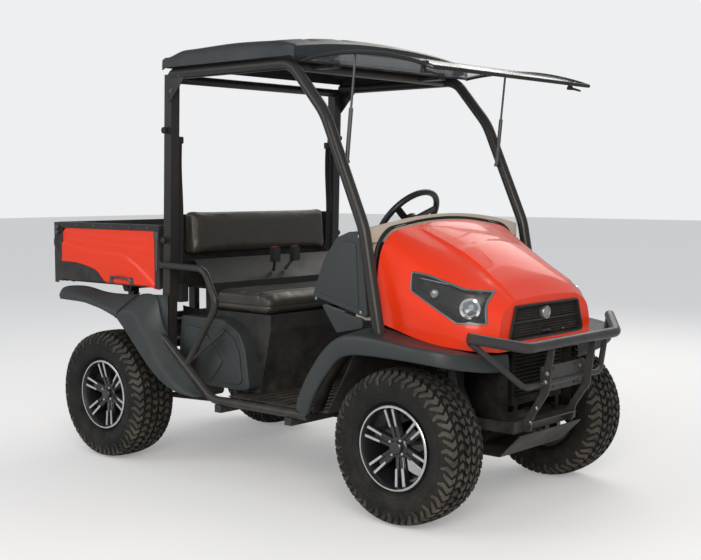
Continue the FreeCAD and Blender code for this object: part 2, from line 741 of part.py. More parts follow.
def draw_polygon(sketch, corners):
    """Closed polygon in a sketch, each corner held by two formulas of the sheet."""
    first = sketch.GeometryCount
    count = len(corners)
    start = [Vector(math.cos(math.tau * index / count), math.sin(math.tau * index / count), 0) * 100
             for index in range(count)]
    for index in range(count):
        sketch.addGeometry(Part.LineSegment(start[index], start[(index + 1) % count]), False)
    for index, (across, up) in enumerate(corners):
        edge, following = first + index, first + (index + 1) % count
        sketch.addConstraint(Sketcher.Constraint("Coincident", edge, 2, following, 1))
        for kind, text, value in (("DistanceX", across, start[index].x), ("DistanceY", up, start[index].y)):
            place = sketch.addConstraint(Sketcher.Constraint(kind, -1, 1, edge, 1, value))
            sketch.setExpression(f"Constraints[{place}]", formula(text))


def sketch_on(body, role, name, offset="0"):
    """Sketch on one of the body's origin planes, raised by a formula."""
    plane = next(item for item in body.Origin.OriginFeatures if item.Role == role)
    sketch = body.newObject("Sketcher::SketchObject", name)
    sketch.AttachmentSupport = (plane, [""])
    sketch.MapMode = "FlatFace"
    sketch.setExpression("AttachmentOffset.Base.z", formula(offset))
    return sketch


def turned(body, name, corners):
    """Revolve a polygon of (along x, radius) formulas about the body's own x axis."""
    sketch = sketch_on(body, "XY_Plane", name + "_sketch")
    draw_polygon(sketch, corners)
    revolution = body.newObject("PartDesign::Revolution", name)
    revolution.Profile = sketch
    revolution.ReferenceAxis = (sketch, ["H_Axis"])
    revolution.Angle = 360
    return revolution


def rim_body(doc, name):
    """Cast rim about its own x axis: hub, six double spokes by a polar pattern, and the barrel."""
    body = doc.addObject("PartDesign::Body", name)
    bore = "spindle_radius + running_gap"
    turned(body, name + "_hub", [
        ("hub_inner_end", bore), ("hub_inner_end", "hub_radius"), ("disc_face", "hub_radius"),
        ("disc_face", "cap_radius"), ("disc_face + cap_height", "cap_radius"), ("disc_face + cap_height", "0"),
        ("spindle_end + 4", "0"), ("spindle_end + 4", bore),
    ])
    spokes = sketch_on(body, "YZ_Plane", name + "_spoke_sketch", "disc_back")
    root, tip = "hub_radius - 8", "bead_radius - barrel_wall + 3"
    near, far = "spoke_gap / 2", "spoke_gap / 2 + spoke_width"
    for side in ("", "-1 * "):
        draw_polygon(spokes, [(f"{side}({near}) * 0.6", root), (f"{side}({near})", tip),
                              (f"{side}({far})", tip), (f"{side}({far}) * 0.8", root)])
    pad = body.newObject("PartDesign::Pad", name + "_spokes")
    pad.Profile = spokes
    pad.setExpression("Length", formula("disc_face - disc_back"))
    pattern = body.newObject("PartDesign::PolarPattern", name + "_pattern")
    pattern.Originals = [pad]
    pattern.Axis = (next(item for item in body.Origin.OriginFeatures if item.Role == "X_Axis"), [""])
    pattern.Angle = 360
    pattern.setExpression("Occurrences", formula("spoke_count"))
    body.Tip = pattern
    lip, slope = "rim_lip_radius", "rim_lip_width"
    inner = "bead_radius - barrel_wall"
    barrel = turned(body, name + "_barrel", [
        ("-rim_width / 2", lip), (f"-rim_width / 2 + {slope}", lip), (f"-rim_width / 2 + {slope} * 2", "bead_radius"),
        (f"rim_width / 2 - {slope} * 2", "bead_radius"), (f"rim_width / 2 - {slope}", lip), ("rim_width / 2", lip),
        ("rim_width / 2", f"{lip} - 8"), (f"rim_width / 2 - {slope} * 2.5", inner),
        (f"-rim_width / 2 + {slope} * 2.5", inner), ("-rim_width / 2", f"{lip} - 8"),
    ])
    body.Tip = barrel
    return body


def tyre_shape(d, width):
    """Tyre about its own x axis, out to the tips of its tread, with rounded shoulders."""
    bead = d.bead_radius + d.seat_gap
    foot = d.rim_width / 2 - d.rim_lip_width * 2 - d.seat_gap
    over_lip = d.rim_lip_radius + 3
    half = width / 2
    outline = [
        (foot, bead), (foot, over_lip), (half, over_lip + 34, 30), (half, d.tyre_radius - 4, d.shoulder_round),
        (0, d.tyre_radius), (-half, d.tyre_radius - 4, d.shoulder_round), (-half, over_lip + 34, 30),
        (-foot, over_lip), (-foot, bead),
    ]
    points = [((along, radius, 0), rest[0] if rest else 0) for along, radius, *rest in outline]
    face = Part.Face(rounded_path(points, closed=True))
    return face.revolve(Vector(0, 0, 0), Vector(1, 0, 0), 360)


def wheels(doc, d):
    """Rim and tyre of each wheel, set on its axle; the rims' faces look outwards."""
    nodes = {}
    # Corner of the vehicle: name, side along x, end along y, tyre width.
    for corner, side, end, width in (
        ("front_left", 1, -1, d.front_tyre_width), ("front_right", -1, -1, d.front_tyre_width),
        ("rear_left", 1, 1, d.rear_tyre_width), ("rear_right", -1, 1, d.rear_tyre_width),
    ):
        rim = rim_body(doc, "rim_" + corner)
        tyre = feature(doc, "tyre_" + corner, tyre_shape(d, width))
        for wheel_part in (rim, tyre):
            if side < 0:
                wheel_part.Placement = Placement(Vector(), Rotation(Vector(0, 0, 1), 180))
            wheel_part.setExpression("Placement.Base.x", formula(f"{side} * half_track"))
            wheel_part.setExpression("Placement.Base.y", formula(f"{end} * wheelbase / 2"))
            wheel_part.setExpression("Placement.Base.z", formula("tyre_radius"))
            nodes[wheel_part.Name] = wheel_part
    return nodes


def hood_sections(d, inset):
    """Cross-sections of the hood from its rear edge to the nose, each pulled in by an inset.

    Columns: y, low z, half width at the bottom, side z, half width there, shoulder z, half width there, crown z.
    """
    rows = (
        (d.hood_rear_y + (6 if inset else 0), 795, 515, 985, 513, 1160, 415, 1203),
        (-980, 728, 488, 868, 482, 1030, 345, 1098),
        (-1150, 702, 432, 800, 428, 945, 300, 980),
        (d.hood_nose_y + inset, 694, 345, 770, 350, 884, 262, 898),
    )
    wires = []
    for y, low, half_low, side, half_side, shoulder, half_shoulder, crown in rows:
        bottom = low - (60 if inset else 0)
        half_low, half_side, half_shoulder = half_low - inset, half_side - inset, half_shoulder - inset * 0.5
        shoulder, crown = shoulder - inset * 0.9, crown - inset
        bulge = ((half_side + half_shoulder) / 2 + (half_side - half_shoulder) * 0.2,
                 (side + shoulder) / 2 + (shoulder - side) * 0.16)
        right = [Vector(half_low, y, bottom), Vector(half_side, y, side), Vector(half_shoulder, y, shoulder)]
        left = [Vector(-point.x, point.y, point.z) for point in right]
        wires.append(Part.Wire([
            Part.makeLine(left[0], right[0]), Part.makeLine(right[0], right[1]),
            Part.Arc(right[1], Vector(bulge[0], y, bulge[1]), right[2]).toShape(),
            Part.Arc(right[2], Vector(0, y, crown), left[2]).toShape(),
            Part.Arc(left[2], Vector(-bulge[0], y, bulge[1]), left[1]).toShape(),
            Part.makeLine(left[1], left[0]),
        ]))
    return wires


def hood_form(d, inset):
    """Solid under the hood's surface, pulled in by an inset."""
    return Part.makeLoft(hood_sections(d, inset), True)


def hood_pin(d, gap):
    """Hinge pins of the hood, wider by a gap for the bores around them."""
    shapes = []
    for side in (-1, 1):
        start = side * (d.hood_hinge_x - 1)
        end = side * (d.hood_hinge_x + 2 * d.hood_barrel_length)
        shapes.append(bar((start, d.hood_hinge_y, d.hood_hinge_z), (end, d.hood_hinge_y, d.hood_hinge_z),
                          d.hood_pin_radius + gap))
    return Part.makeCompound(shapes)


def hinge_lugs(d, start, towards):
    """Hinge barrels at both sides, each with a tab towards the panel that it belongs to."""
    shapes = []
    reach = abs((d.hood_rear_y if towards < 0 else d.cowl_front_y) - d.hood_hinge_y) + 2
    for side in (-1, 1):
        x0, x1 = side * start, side * (start + d.hood_barrel_length - 0.5)
        barrel = bar((x0, d.hood_hinge_y, d.hood_hinge_z), (x1, d.hood_hinge_y, d.hood_hinge_z),
                     d.hood_barrel_radius)
        tab = cuboid(sorted((x0, x1)), sorted((d.hood_hinge_y, d.hood_hinge_y + towards * reach)),
                     (d.hood_hinge_z - d.hood_barrel_radius, d.hood_hinge_z + d.hood_barrel_radius - 2))
        shapes.append(barrel.fuse(tab))
    return shapes


def front_end(doc, d):
    """Hood shell with its lamp and grille openings, and the lamps and grille that fill them."""
    lamp_outline = [(-849, 1008, 14), (-846, 926, 12), (-1047, 806, 20), (-1196, 806, 12), (-1206, 926, 10),
                    (-1022, 958, 30)]
    grille_outline = [(-d.grille_top_half, d.grille_top_z, 18), (d.grille_top_half, d.grille_top_z, 18),
                      (d.grille_low_half, d.grille_low_z, 18), (-d.grille_low_half, d.grille_low_z, 18)]
    outer = hood_form(d, 0)
    lamp_cut = prism("YZ", lamp_outline, 250, 700)
    grille_cut = prism("XZ", grille_outline, d.hood_nose_y - 40, d.hood_nose_y + 60)
    shell = outer.cut(hood_form(d, d.hood_wall)).cut(lamp_cut).cut(mirrored(lamp_cut)).cut(grille_cut)
    shell = union([shell] + hinge_lugs(d, d.hood_hinge_x, -1)).cut(hood_pin(d, d.running_gap))

    gap = d.seat_gap * 2
    under = hood_form(d, gap + 1)
    deep = hood_form(d, d.lamp_depth)
    centre_y, centre_z = -1010, 895
    shrink = 0.012
    small = [(y + (centre_y - y) * shrink, z + (centre_z - z) * shrink, radius) for y, z, radius in lamp_outline]
    lamp = under.common(prism("YZ", small, 250, 700)).cut(deep)
    lamps = [lamp, mirrored(lamp)]
    grille_small = [(x - math.copysign(gap, x), z + (gap if z < 800 else -gap), radius)
                    for x, z, radius in grille_outline]
    face_y = d.hood_nose_y + 4
    grille = prism("XZ", grille_small, face_y, face_y + d.grille_depth)
    slots = []
    bars = 5
    pitch = (d.grille_top_z - d.grille_low_z - 24) / bars
    for row in range(bars):
        z = d.grille_low_z + 12 + row * pitch
        half = d.grille_top_half - 6
        slots.append(cuboid((-half, half), (face_y - 1, face_y + d.grille_depth - 6), (z + 4, z + pitch - 4)))
    grille = grille.cut(Part.makeCompound(slots))
    return {"hood": feature(doc, "hood", shell),
            "headlights": feature(doc, "headlights", Part.makeCompound(lamps)),
            "grille": feature(doc, "grille", grille)}


def cowl_and_dash(doc, d):
    """Cowl behind the hood with its crowned top, and the dashboard below it."""
    wires = []
    # Sections: y, how much lower than the front one.
    for y, drop in ((d.cowl_front_y, 0), (d.cowl_rear_y, 34)):
        half, low = d.cowl_half_width, d.cowl_low_z
        side, crown = d.cowl_side_z - drop, d.cowl_crown_z - drop
        ring = [Vector(-half, y, low), Vector(half, y, low), Vector(half, y, side), Vector(-half, y, side)]
        wires.append(Part.Wire([Part.makeLine(ring[0], ring[1]), Part.makeLine(ring[1], ring[2]),
                                Part.Arc(ring[2], Vector(0, y, crown), ring[3]).toShape(),
                                Part.makeLine(ring[3], ring[0])]))
    cowl = Part.makeLoft(wires, True, True)
    lugs = hinge_lugs(d, d.hood_hinge_x + d.hood_barrel_length, 1)
    cowl = union([cowl] + lugs + hood_pin(d, 0).Solids)
    dash = [(d.dash_front_y, d.dash_low_z, 15), (d.dash_rear_y, d.dash_low_z + 30, 15),
            (d.dash_rear_y - 20, d.cowl_low_z), (d.dash_front_y, d.cowl_low_z)]
    half = d.cowl_half_width - 10
    board = prism("YZ", dash, -half, half).cut(column_bar(d, d.column_radius + d.seat_gap))
    return {"cowl": feature(doc, "cowl", cowl), "dashboard": feature(doc, "dashboard", board)}


def column_line(d):
    """Centre of the steering wheel and the direction of its column, upwards to the driver."""
    tilt = math.radians(d.wheel_tilt)
    centre = Vector(d.wheel_centre_x, d.wheel_centre_y, d.wheel_centre_z)
    return centre, Vector(0, math.cos(tilt), math.sin(tilt))


def column_bar(d, radius):
    """Straight bar on the steering column's line."""
    centre, along = column_line(d)
    return bar(centre - along * d.column_length, centre - along * (d.wheel_hub_depth + d.seat_gap), radius)


def steering_column(doc, d):
    """Column from the dashboard towards the steering wheel, and the wheel itself."""
    centre, along = column_line(d)
    top = centre - along * (d.wheel_hub_depth + d.seat_gap)
    column = union([column_bar(d, d.column_radius), bar(centre - along * 160, top, d.column_radius + 14)])

    wheel = doc.addObject("Part::Torus", "wheel_grip")
    wheel.setExpression("Radius1", formula("wheel_ring_radius"))
    wheel.setExpression("Radius2", formula("wheel_grip_radius"))
    hub = doc.addObject("Part::Cone", "wheel_hub")
    hub.Radius1, hub.Radius2 = 30, 52
    hub.setExpression("Height", formula("wheel_hub_depth"))
    hub.setExpression("Placement.Base.z", formula("-wheel_hub_depth"))
    spokes = []
    for number, angle in enumerate((0, 120, 240)):
        spoke = doc.addObject("Part::Box", f"wheel_spoke_{number}")
        spoke.Length, spoke.Width, spoke.Height = d.wheel_ring_radius - 26, 34, 9
        turn = Rotation(Vector(0, 0, 1), angle + 90)
        spoke.Placement = Placement(turn.multVec(Vector(22, -17, -10)), turn)
        spokes.append(spoke)
    ring = fused(doc, "steering_wheel", [wheel, hub] + spokes)
    ring.Placement = Placement(centre, Rotation(Vector(0, 0, 1), along))
    return {"steering_column": feature(doc, "steering_column", column), "steering_wheel": ring}


def floor_pan(doc, d):
    """Floor with toe board and firewall, bent out of one sheet."""
    path = [(d.floor_rear_y, d.floor_z), (d.floor_front_y, d.floor_z), (d.firewall_y, d.toe_top_z),
            (d.firewall_y, d.cowl_low_z - d.seat_gap)]
    sheet = strip("YZ", path[::-1], d.floor_wall, -d.floor_half_width, d.floor_half_width)
    upper = cuboid((d.cowl_half_width - 60, 800), (-900, -600), (d.toe_top_z + 60, 1300))
    return {"floor_pan": feature(doc, "floor_pan", sheet.cut(upper).cut(mirrored(upper)))}


def side_panels(doc, d):
    """Moulded panels between the cowl and the fenders, beside the knees."""
    upper = [(-700, 1164, 12), (-636, 1164, 25), (-565, 1138, 40), (-495, 1046, 60), (-428, 888, 20),
             (-735, 812, 12)]
    lower = [(-496, 838, 12), (-690, 804, 8), (-690, 768, 8), (-564, 735, 12)]
    shapes = []
    for outline in (upper, lower):
        panel = prism("YZ", outline, d.panel_x, d.panel_x + d.panel_wall)
        shapes += [panel, mirrored(panel)]
    inner = prism("YZ", [(-700, 1160), (-640, 1160), (-640, 770), (-700, 770)], d.cowl_half_width + d.seat_gap,
                  d.panel_x + 1)
    link = union([shapes[0], shapes[2], inner])
    return {"side_panels": feature(doc, "side_panels", both_sides(link))}


def ruled_solid(near_x, near, far_x, far):
    """Solid with straight rulings between two closed outlines of (y, z), one at each x."""
    wires = []
    for x, outline in ((near_x, near), (far_x, far)):
        wires.append(Part.makePolygon([Vector(x, y, z) for y, z in outline + outline[:1]]))
    return Part.makeLoft(wires, True, True)


def fender_corner(d, inset):
    """Outline of the left front fender from above, round its front corner, pulled in by an inset."""
    side, nose = d.fender_outer_x - inset, d.fender_nose_y + inset
    return [(0, 0), (0, nose), (side, nose, d.fender_corner_radius - inset), (side, 0)]


def front_fenders(doc, d):
    """Front fenders: a lip round the wheel's outer side and front corner, a top skin and a nose apron."""
    nose, top = d.fender_nose_y, d.front_fender_top_z
    lip_wall = d.fender_outer_x - d.sill_x - d.sill_radius - 1
    # Low edge from the nose back to the sill, then the ridge forwards again.
    side = [(nose, 715, 20), (nose, 628, 8), (-1150, 664, 60), (-1060, 678, 60), (-839, 680, 60), (-693, 664, 60),
            (-616, 589, 60), (-527, 468, 60), (-505, 404, 10), (-460, 396, 10), (-447, 487, 30), (-515, 598, 60),
            (-593, 691, 60), (-681, top - 16, 60), (-800, top, 80), (-928, top - 13, 80), (-1073, top - 28, 80)]
    lip = prism("YZ", side, d.fender_inner_x, d.fender_outer_x)
    lip = lip.common(prism("XY", fender_corner(d, 0), 0, 1000)).cut(prism("XY", fender_corner(d, lip_wall), 0, 1000))

    skin_path = [(nose + 12, 708), (-1073, top - 32), (-928, top - 18), (-800, top - 7), (-690, top - 23),
                 (-606, 680), (-530, 580), (-466, 410)]
    skin = strip("YZ", skin_path[::-1], d.fender_wall, d.fender_inner_x, d.fender_outer_x - 20)
    skin = skin.common(prism("XY", fender_corner(d, 2), 0, 1000))
    beside_floor = cuboid((0, d.floor_half_width + d.seat_gap), (d.firewall_y - 8, 0), (0, 1000))
    pillar_hole = bar((d.pillar_x, d.pillar_base_y - 12, d.pillar_base_z), (d.pillar_x, d.pillar_base_y + 20, 800),
                      d.pillar_radius + 8)
    skin = skin.cut(Part.makeCompound([beside_floor, pillar_hole]))
    apron = cuboid((d.apron_inner_x, d.fender_inner_x + 4), (nose, nose + d.fender_wall), (d.apron_low_z, d.apron_top_z))
    return {"front_fenders": feature(doc, "front_fenders", both_sides(union([lip, skin, apron])))}


def rear_fenders(doc, d):
    """Rear fenders: a face that slopes out from the post and the bed to a lip, and the liner over the tyre."""
    inner_x, outer_x = d.bed_half_width + d.bed_side_gap, d.fender_outer_x
    # Each outline: the upper line from the rear to the front, then the low line back.
    front_outer = [(750, 739), (650, 760), (584, 702), (508, 608), (432, 506), (337, 431), (222, 403),
                   (181, 392), (358, 399), (507, 485), (610, 579), (694, 657), (761, 715)]
    front_inner = [(675, 828), (545, 842), (522, 712), (470, 645), (400, 575), (327, 509), (190, 399),
                   (200, 390), (336, 500), (480, 637), (533, 712), (556, 828), (675, 816)]
    fin_outer = [(1227, 808), (1002, 804), (829, 765), (750, 739), (761, 715), (886, 750), (1025, 774), (1227, 776)]
    fin_inner = [(1246, 849), (1066, 853), (913, 824), (675, 828), (675, 816), (913, 814), (1066, 843), (1246, 839)]
    front = ruled_solid(inner_x, front_inner, outer_x, front_outer)
    fin = ruled_solid(inner_x, fin_inner, outer_x, fin_outer)
    liner_path = [(1224, 781), (1025, 779), (886, 755), (761, 720), (694, 662), (507, 490), (420, 430)]
    liner = strip("YZ", liner_path, d.fender_wall, d.post_x + d.post_size / 2 + d.seat_gap, outer_x - 4)
    notch = [tube(sill_line(d), d.sill_radius + d.seat_gap, d.sill_bend), sill_anchor(d, d.seat_gap)]
    fender = union([front, fin, liner]).cut(Part.makeCompound(notch))
    return {"rear_fenders": feature(doc, "rear_fenders", both_sides(fender))}


def hoop_shape(d):
    """Left side hoop: round pillar and top tube, square rear post."""
    x = d.pillar_x
    foot_z = d.pillar_base_z + d.seat_gap
    foot = cuboid((x - 30, x + 25), (d.pillar_base_y - 30, d.pillar_base_y + 32), (foot_z, foot_z + 8))
    path = [(x, d.pillar_base_y, foot_z + 6), (x, d.pillar_knee_y, d.pillar_knee_z),
            (x, d.pillar_elbow_y, d.pillar_elbow_z), (x, d.rail_top_y, d.rail_top_z - d.pillar_radius),
            (x, d.top_tube_rear_y, d.rail_top_z - d.pillar_radius)]
    pillar = tube(path, d.pillar_radius, d.hoop_bend, d.hoop_bend, d.hoop_top_bend)
    top_z = d.rail_top_z - d.pillar_radius
    post = square_tube([(d.post_x, d.post_foot_y, d.post_foot_z - 8), (d.post_x, d.post_mid_y, d.post_mid_z),
                        (d.post_x, d.post_top_y, top_z)], d.post_size, 400)
    return union([pillar, post, foot])


def rollover_frame(doc, d):
    """Side hoops, the tubes that cross between them, and the corner plates."""
    hoop = hoop_shape(d)
    shapes = []
    # Cross tubes: y, z, half length to the face that each one meets.
    for y, z, reach in ((d.front_cross_y, d.rail_top_z - d.pillar_radius, d.pillar_x - d.pillar_radius),
                        (d.post_top_y, d.rear_cross_z, d.post_x - d.post_size / 2)):
        half = reach - d.seat_gap
        shapes.append(bar((-half, y, z), (half, y, z), d.cross_radius))
    for x in (-380, 380):
        bracket = cuboid((x - 25, x + 25), (d.screen_hinge_y - 8, d.front_cross_y), (d.screen_hinge_z - 14,
                                                                                      d.screen_hinge_z - d.seat_gap))
        shapes[0] = shapes[0].fuse(bracket)
    return {"rops_sides": feature(doc, "rops_sides", both_sides(hoop)),
            "rops_cross_tubes": feature(doc, "rops_cross_tubes", Part.makeCompound(shapes))}


def roof_panel(doc, d):
    """Moulded roof: a crowned shell with a skirt that stands on the top tubes."""
    def form(inset):
        wires = []
        # Sections from the rear to the front: y, how much lower than the middle of the roof.
        for y, drop in ((d.roof_rear_y - inset, 34), (d.roof_rear_y - 150, 6), (0, 0),
                        (d.roof_front_y + 120, 8), (d.roof_front_y + inset, 30)):
            half = d.roof_half_width - inset
            low = d.rail_top_z + d.seat_gap - (1 if inset else 0)
            side, crown = d.roof_side_z - drop - inset, d.roof_crown_z - drop - inset
            edge = Vector(half - 14, y, side)
            wires.append(Part.Wire([
                Part.makeLine(Vector(-half, y, low), Vector(half, y, low)),
                Part.makeLine(Vector(half, y, low), edge),
                Part.Arc(edge, Vector(0, y, crown), Vector(-edge.x, y, side)).toShape(),
                Part.makeLine(Vector(-edge.x, y, side), Vector(-half, y, low)),
            ]))
        return Part.makeLoft(wires, True, True)

    shell = form(0).cut(form(d.roof_wall))
    # Ledges inside the skirt that rest on the top tubes: centre along y, length along y.
    ledges = []
    for y, length in ((d.rail_top_y + 90, 60), (0, 60), (d.top_tube_rear_y - 60, 60)):
        ledge = cuboid((d.pillar_x - 20, d.roof_half_width - d.roof_wall + 1), (y - length / 2, y + length / 2),
                       (d.rail_top_z + d.seat_gap, d.rail_top_z + d.seat_gap + 8))
        ledges += [ledge, mirrored(ledge)]
    return {"roof_panel": feature(doc, "roof_panel", union([shell] + ledges))}


def windshield(doc, d):
    """Clear windshield swung up on its hinges, bowed along its length, held by two gas struts."""
    arcs = []
    for lift in (0, d.screen_wall):
        ends = [Vector(0, d.screen_hinge_y, d.screen_hinge_z + lift), Vector(0, d.screen_tip_y, d.screen_tip_z + lift)]
        middle = (ends[0] + ends[1]) / 2 + Vector(0, 0, d.screen_rise)
        arcs.append((Part.Arc(ends[0], middle, ends[1]).toShape(), ends))
    (under, under_ends), (over, over_ends) = arcs
    rim = Part.Wire([under, Part.makeLine(under_ends[1], over_ends[1]), over, Part.makeLine(over_ends[0], under_ends[0])])
    pane = Part.Face(rim).extrude(Vector(2 * d.screen_half_width, 0, 0))
    pane.translate(Vector(-d.screen_half_width, 0, 0))
    foot_x = d.pillar_x - d.pillar_radius - d.screen_strut_radius - 5
    span = (d.screen_hinge_y - d.screen_strut_y) / (d.screen_hinge_y - d.screen_tip_y)
    pane_z = (d.screen_hinge_z + (d.screen_tip_z - d.screen_hinge_z) * span + 4 * d.screen_rise * span * (1 - span))
    low = (foot_x, d.screen_strut_low_y, d.screen_strut_low_z)
    middle = (foot_x, (d.screen_strut_low_y + d.screen_strut_y) / 2, (d.screen_strut_low_z + pane_z) / 2)
    strut = bar(low, middle, d.screen_strut_radius)
    slim = bar(middle, (foot_x, d.screen_strut_y, pane_z - 2), 5)
    clamp = bar((foot_x - 10, low[1], low[2]), (d.pillar_x - d.pillar_radius - d.seat_gap, low[1], low[2]), 8)
    side = union([strut, slim, clamp])
    return {"windshield": feature(doc, "windshield", pane),
            "windshield_struts": feature(doc, "windshield_struts", both_sides(side))}


def front_guard(doc, d):
    """Tube guard before the grille: an upper hoop, upright plates, a lower tube and a winch plate."""
    y_front = -d.half_length + d.guard_radius
    upper = tube([(548, -1222, 771), (352, y_front, 724), (-352, y_front, 724), (-548, -1222, 771)],
                 d.guard_radius, d.guard_bend)
    lower = tube([(536, -1222, 752), (296, -1316, 555), (-296, -1316, 555), (-536, -1222, 752)],
                 d.guard_low_radius, d.guard_bend)
    upright_outline = [(-1372, 712, 8), (-1346, 712, 8), (-1310, 560, 30), (-1310, 520, 30), (-1232, 400),
                       (-1232, 352), (-1262, 352, 8), (-1280, 420, 30), (-1346, 520, 30)]
    shapes = [upper, lower]
    for x in (-d.upright_x, d.upright_x - d.upright_thick):
        shapes.append(prism("YZ", upright_outline, x, x + d.upright_thick))
    back = cuboid((-d.rail_outer_x, d.rail_outer_x), (-1234, d.rail_front_y), (d.front_rail_z, d.front_rail_z + 50))
    plate = cuboid((-d.upright_x, d.upright_x), (-1316, -1308), (520, 625))
    brace = cuboid((-d.upright_x, d.upright_x), (-1280, -1232), (392, 398))
    shapes += [back, plate, brace]
    guard = union(shapes)
    holes = []
    for x in (-82.55, 82.55):
        for z in (534.4, 610.6):
            holes.append(bar((x, -1330, z), (x, -1300, z), 5.5))
    return {"front_guard": feature(doc, "front_guard", guard.cut(Part.makeCompound(holes)))}


def tail_lamps(doc, d):
    """Tail lamps on brackets at the rear ends of the chassis rails."""
    rail_top = d.rear_rail_z + d.rail_height + d.seat_gap
    rear = d.rail_rear_y
    bracket = cuboid((d.rail_inner_x + 5, d.rail_outer_x + 60), (rear - 20, rear - 12), (rail_top, rail_top + 70))
    foot = cuboid((d.rail_inner_x + 5, d.rail_outer_x), (rear - 40, rear - 12), (rail_top, rail_top + 6))
    lamp = prism("XZ", [(d.rail_outer_x - 30, rail_top + 10, 12), (d.rail_outer_x + 90, rail_top + 10, 12),
                        (d.rail_outer_x + 90, rail_top + 66, 12), (d.rail_outer_x - 30, rail_top + 66, 12)],
                 rear - 12 + d.seat_gap, rear + 18)
    return {"lamp_brackets": feature(doc, "lamp_brackets", both_sides(union([bracket, foot]))),
            "tail_lamps": feature(doc, "tail_lamps", both_sides(lamp))}


def radiator(doc, d):
    """Radiator behind the grille: a finned core between two tanks, standing on the front cross-member."""
    low = d.front_rail_z + d.cross_tube
    half, front, rear = d.radiator_half, d.radiator_front_y, d.radiator_front_y + d.radiator_thick
    core = cuboid((-half, half), (front, rear), (low + d.radiator_lift, d.radiator_top_z))
    core_low, core_high = low + d.radiator_lift + d.tank_height, d.radiator_top_z - d.tank_height
    gaps = []
    for row in range(int((core_high - core_low) // d.fin_pitch)):
        z = core_low + row * d.fin_pitch
        for face_y in (front - 1, rear + 1 - d.fin_depth):
            gaps.append(cuboid((-half + 12, half - 12), (face_y, face_y + d.fin_depth), (z, z + d.fin_pitch / 2)))
    core = core.cut(Part.makeCompound(gaps))
    leg_y, leg_top = d.rail_front_y + 35, low + d.radiator_lift + 2
    stand = []
    for x in (-half + 30, half - 30):
        stand.append(cuboid((x - 10, x + 10), (leg_y, leg_y + 8), (low, leg_top)))
        stand.append(cuboid((x - 10, x + 10), (leg_y, front + 10), (leg_top - 12, leg_top)))
    return {"radiator": feature(doc, "radiator", union([core] + stand))}


def sill_line(d):
    """Centre line of the left sill tube, from the rear post down and forwards along the floor."""
    return [(d.post_x + 44, d.post_foot_y + 4, d.post_foot_z - 26), (d.sill_x, 122, d.sill_z),
            (d.sill_x, -470, d.sill_z)]


def sill_anchor(d, gap):
    """Stub that holds the sill tube's upper end on the rear post, wider by a gap for the cut round it."""
    _, y, z = sill_line(d)[0]
    face_x = d.post_x + d.post_size / 2 + d.seat_gap
    return bar((face_x, y, z), (face_x + 22 + gap, y, z), d.sill_radius + gap)


def sills_and_hip_guards(doc, d):
    """Tubes from the rear posts down along the sills, and the guards beside the hips."""
    sill = union([tube(sill_line(d), d.sill_radius, d.sill_bend), sill_anchor(d, 0)])
    face_x = d.post_x + d.post_size / 2 + d.seat_gap
    x = d.hip_x
    hoop = tube([(x, 482, 981), (x, 195, 974), (x, 110, 815), (x + 6, 316, 521)], d.hip_radius, 75)
    foot = bar((face_x, 482, 981), (x + d.hip_radius - 2, 482, 981), d.hip_radius)
    brace = bar((x, 60, 706), (x, 284, 550), 8)
    notch = tube(sill_line(d), d.sill_radius + d.seat_gap, d.sill_bend)
    guard = union([hoop, foot, brace]).cut(notch)
    return {"sill_tubes": feature(doc, "sill_tubes", both_sides(sill)),
            "hip_guards": feature(doc, "hip_guards", both_sides(guard))}


def seat_parts(doc, d):
    """Bench: moulded base between side panels, cushion, lower back panel and backrest."""
    nodes = {}
    half = d.seat_base_half_width
    front, rear, top = d.seat_base_front_y, d.seat_base_rear_y, d.cushion_low_z - d.seat_gap
    outline = [(front + 30, d.floor_z + d.floor_wall), (front - 40, 700, 30), (front - 40, top), (rear, top),
               (rear, d.floor_z + d.floor_wall + 60), (d.floor_rear_y - 2, d.floor_z + d.floor_wall + 60),
               (d.floor_rear_y - 2, d.floor_z + d.floor_wall)]
    base = prism("YZ", outline, -half, half)
    nodes["seat_base"] = feature(doc, "seat_base", base)

    panel = [(-19, 424, 30), (8, 608, 120), (51, 690, 60), (160, 742, 80), (440, 742, 20), (470, 470, 20),
             (330, 424, 30)]
    side = prism("YZ", panel, half + d.seat_gap, d.side_panel_x + d.side_panel_wall)
    nodes["seat_side_panels"] = feature(doc, "seat_side_panels", both_sides(side))

    cushion = prism("YZ", [(d.cushion_front_y, d.cushion_low_z, 20), (d.cushion_front_y, d.cushion_top_z, 40),
                           (d.cushion_rear_y, d.cushion_top_z + 12, 25), (d.cushion_rear_y, d.cushion_low_z, 10)],
                    -d.seat_half_width, d.seat_half_width)
    nodes["seat_cushion"] = feature(doc, "seat_cushion", cushion)
    back_y = d.cushion_rear_y + d.seat_gap
    back_path = [(back_y, d.cushion_low_z - 25), (back_y, 895), (d.backrest_front_y - 8, 1003),
                 (d.backrest_rear_y - 20, 1003)]
    panel_back = strip("YZ", back_path[::-1], 6, -d.backrest_half_width, d.backrest_half_width)
    nodes["seat_back_panel"] = feature(doc, "seat_back_panel", panel_back)
    rest = prism("YZ", [(d.backrest_front_y, d.backrest_low_z, 24), (d.backrest_rear_y, d.backrest_low_z, 15),
                        (d.backrest_rear_y, d.backrest_top_z, 30), (d.backrest_front_y + 16, d.backrest_top_z, 34)],
                 -d.backrest_half_width, d.backrest_half_width)
    nodes["seat_backrest"] = feature(doc, "seat_backrest", rest)
    reach = d.post_x - d.post_size / 2 - d.seat_gap
    behind = d.backrest_rear_y + d.seat_gap
    low, high = d.backrest_low_z + 28, d.backrest_top_z - 28
    carrier = [cuboid((-reach, reach), (behind, behind + 6), (low, high))]
    for side in (-1, 1):
        carrier.append(cuboid(sorted((side * reach, side * (reach - 6))), (d.post_mid_y - 10, behind + 6), (low, high)))
    nodes["backrest_frame"] = feature(doc, "backrest_frame", union(carrier))
    return nodes


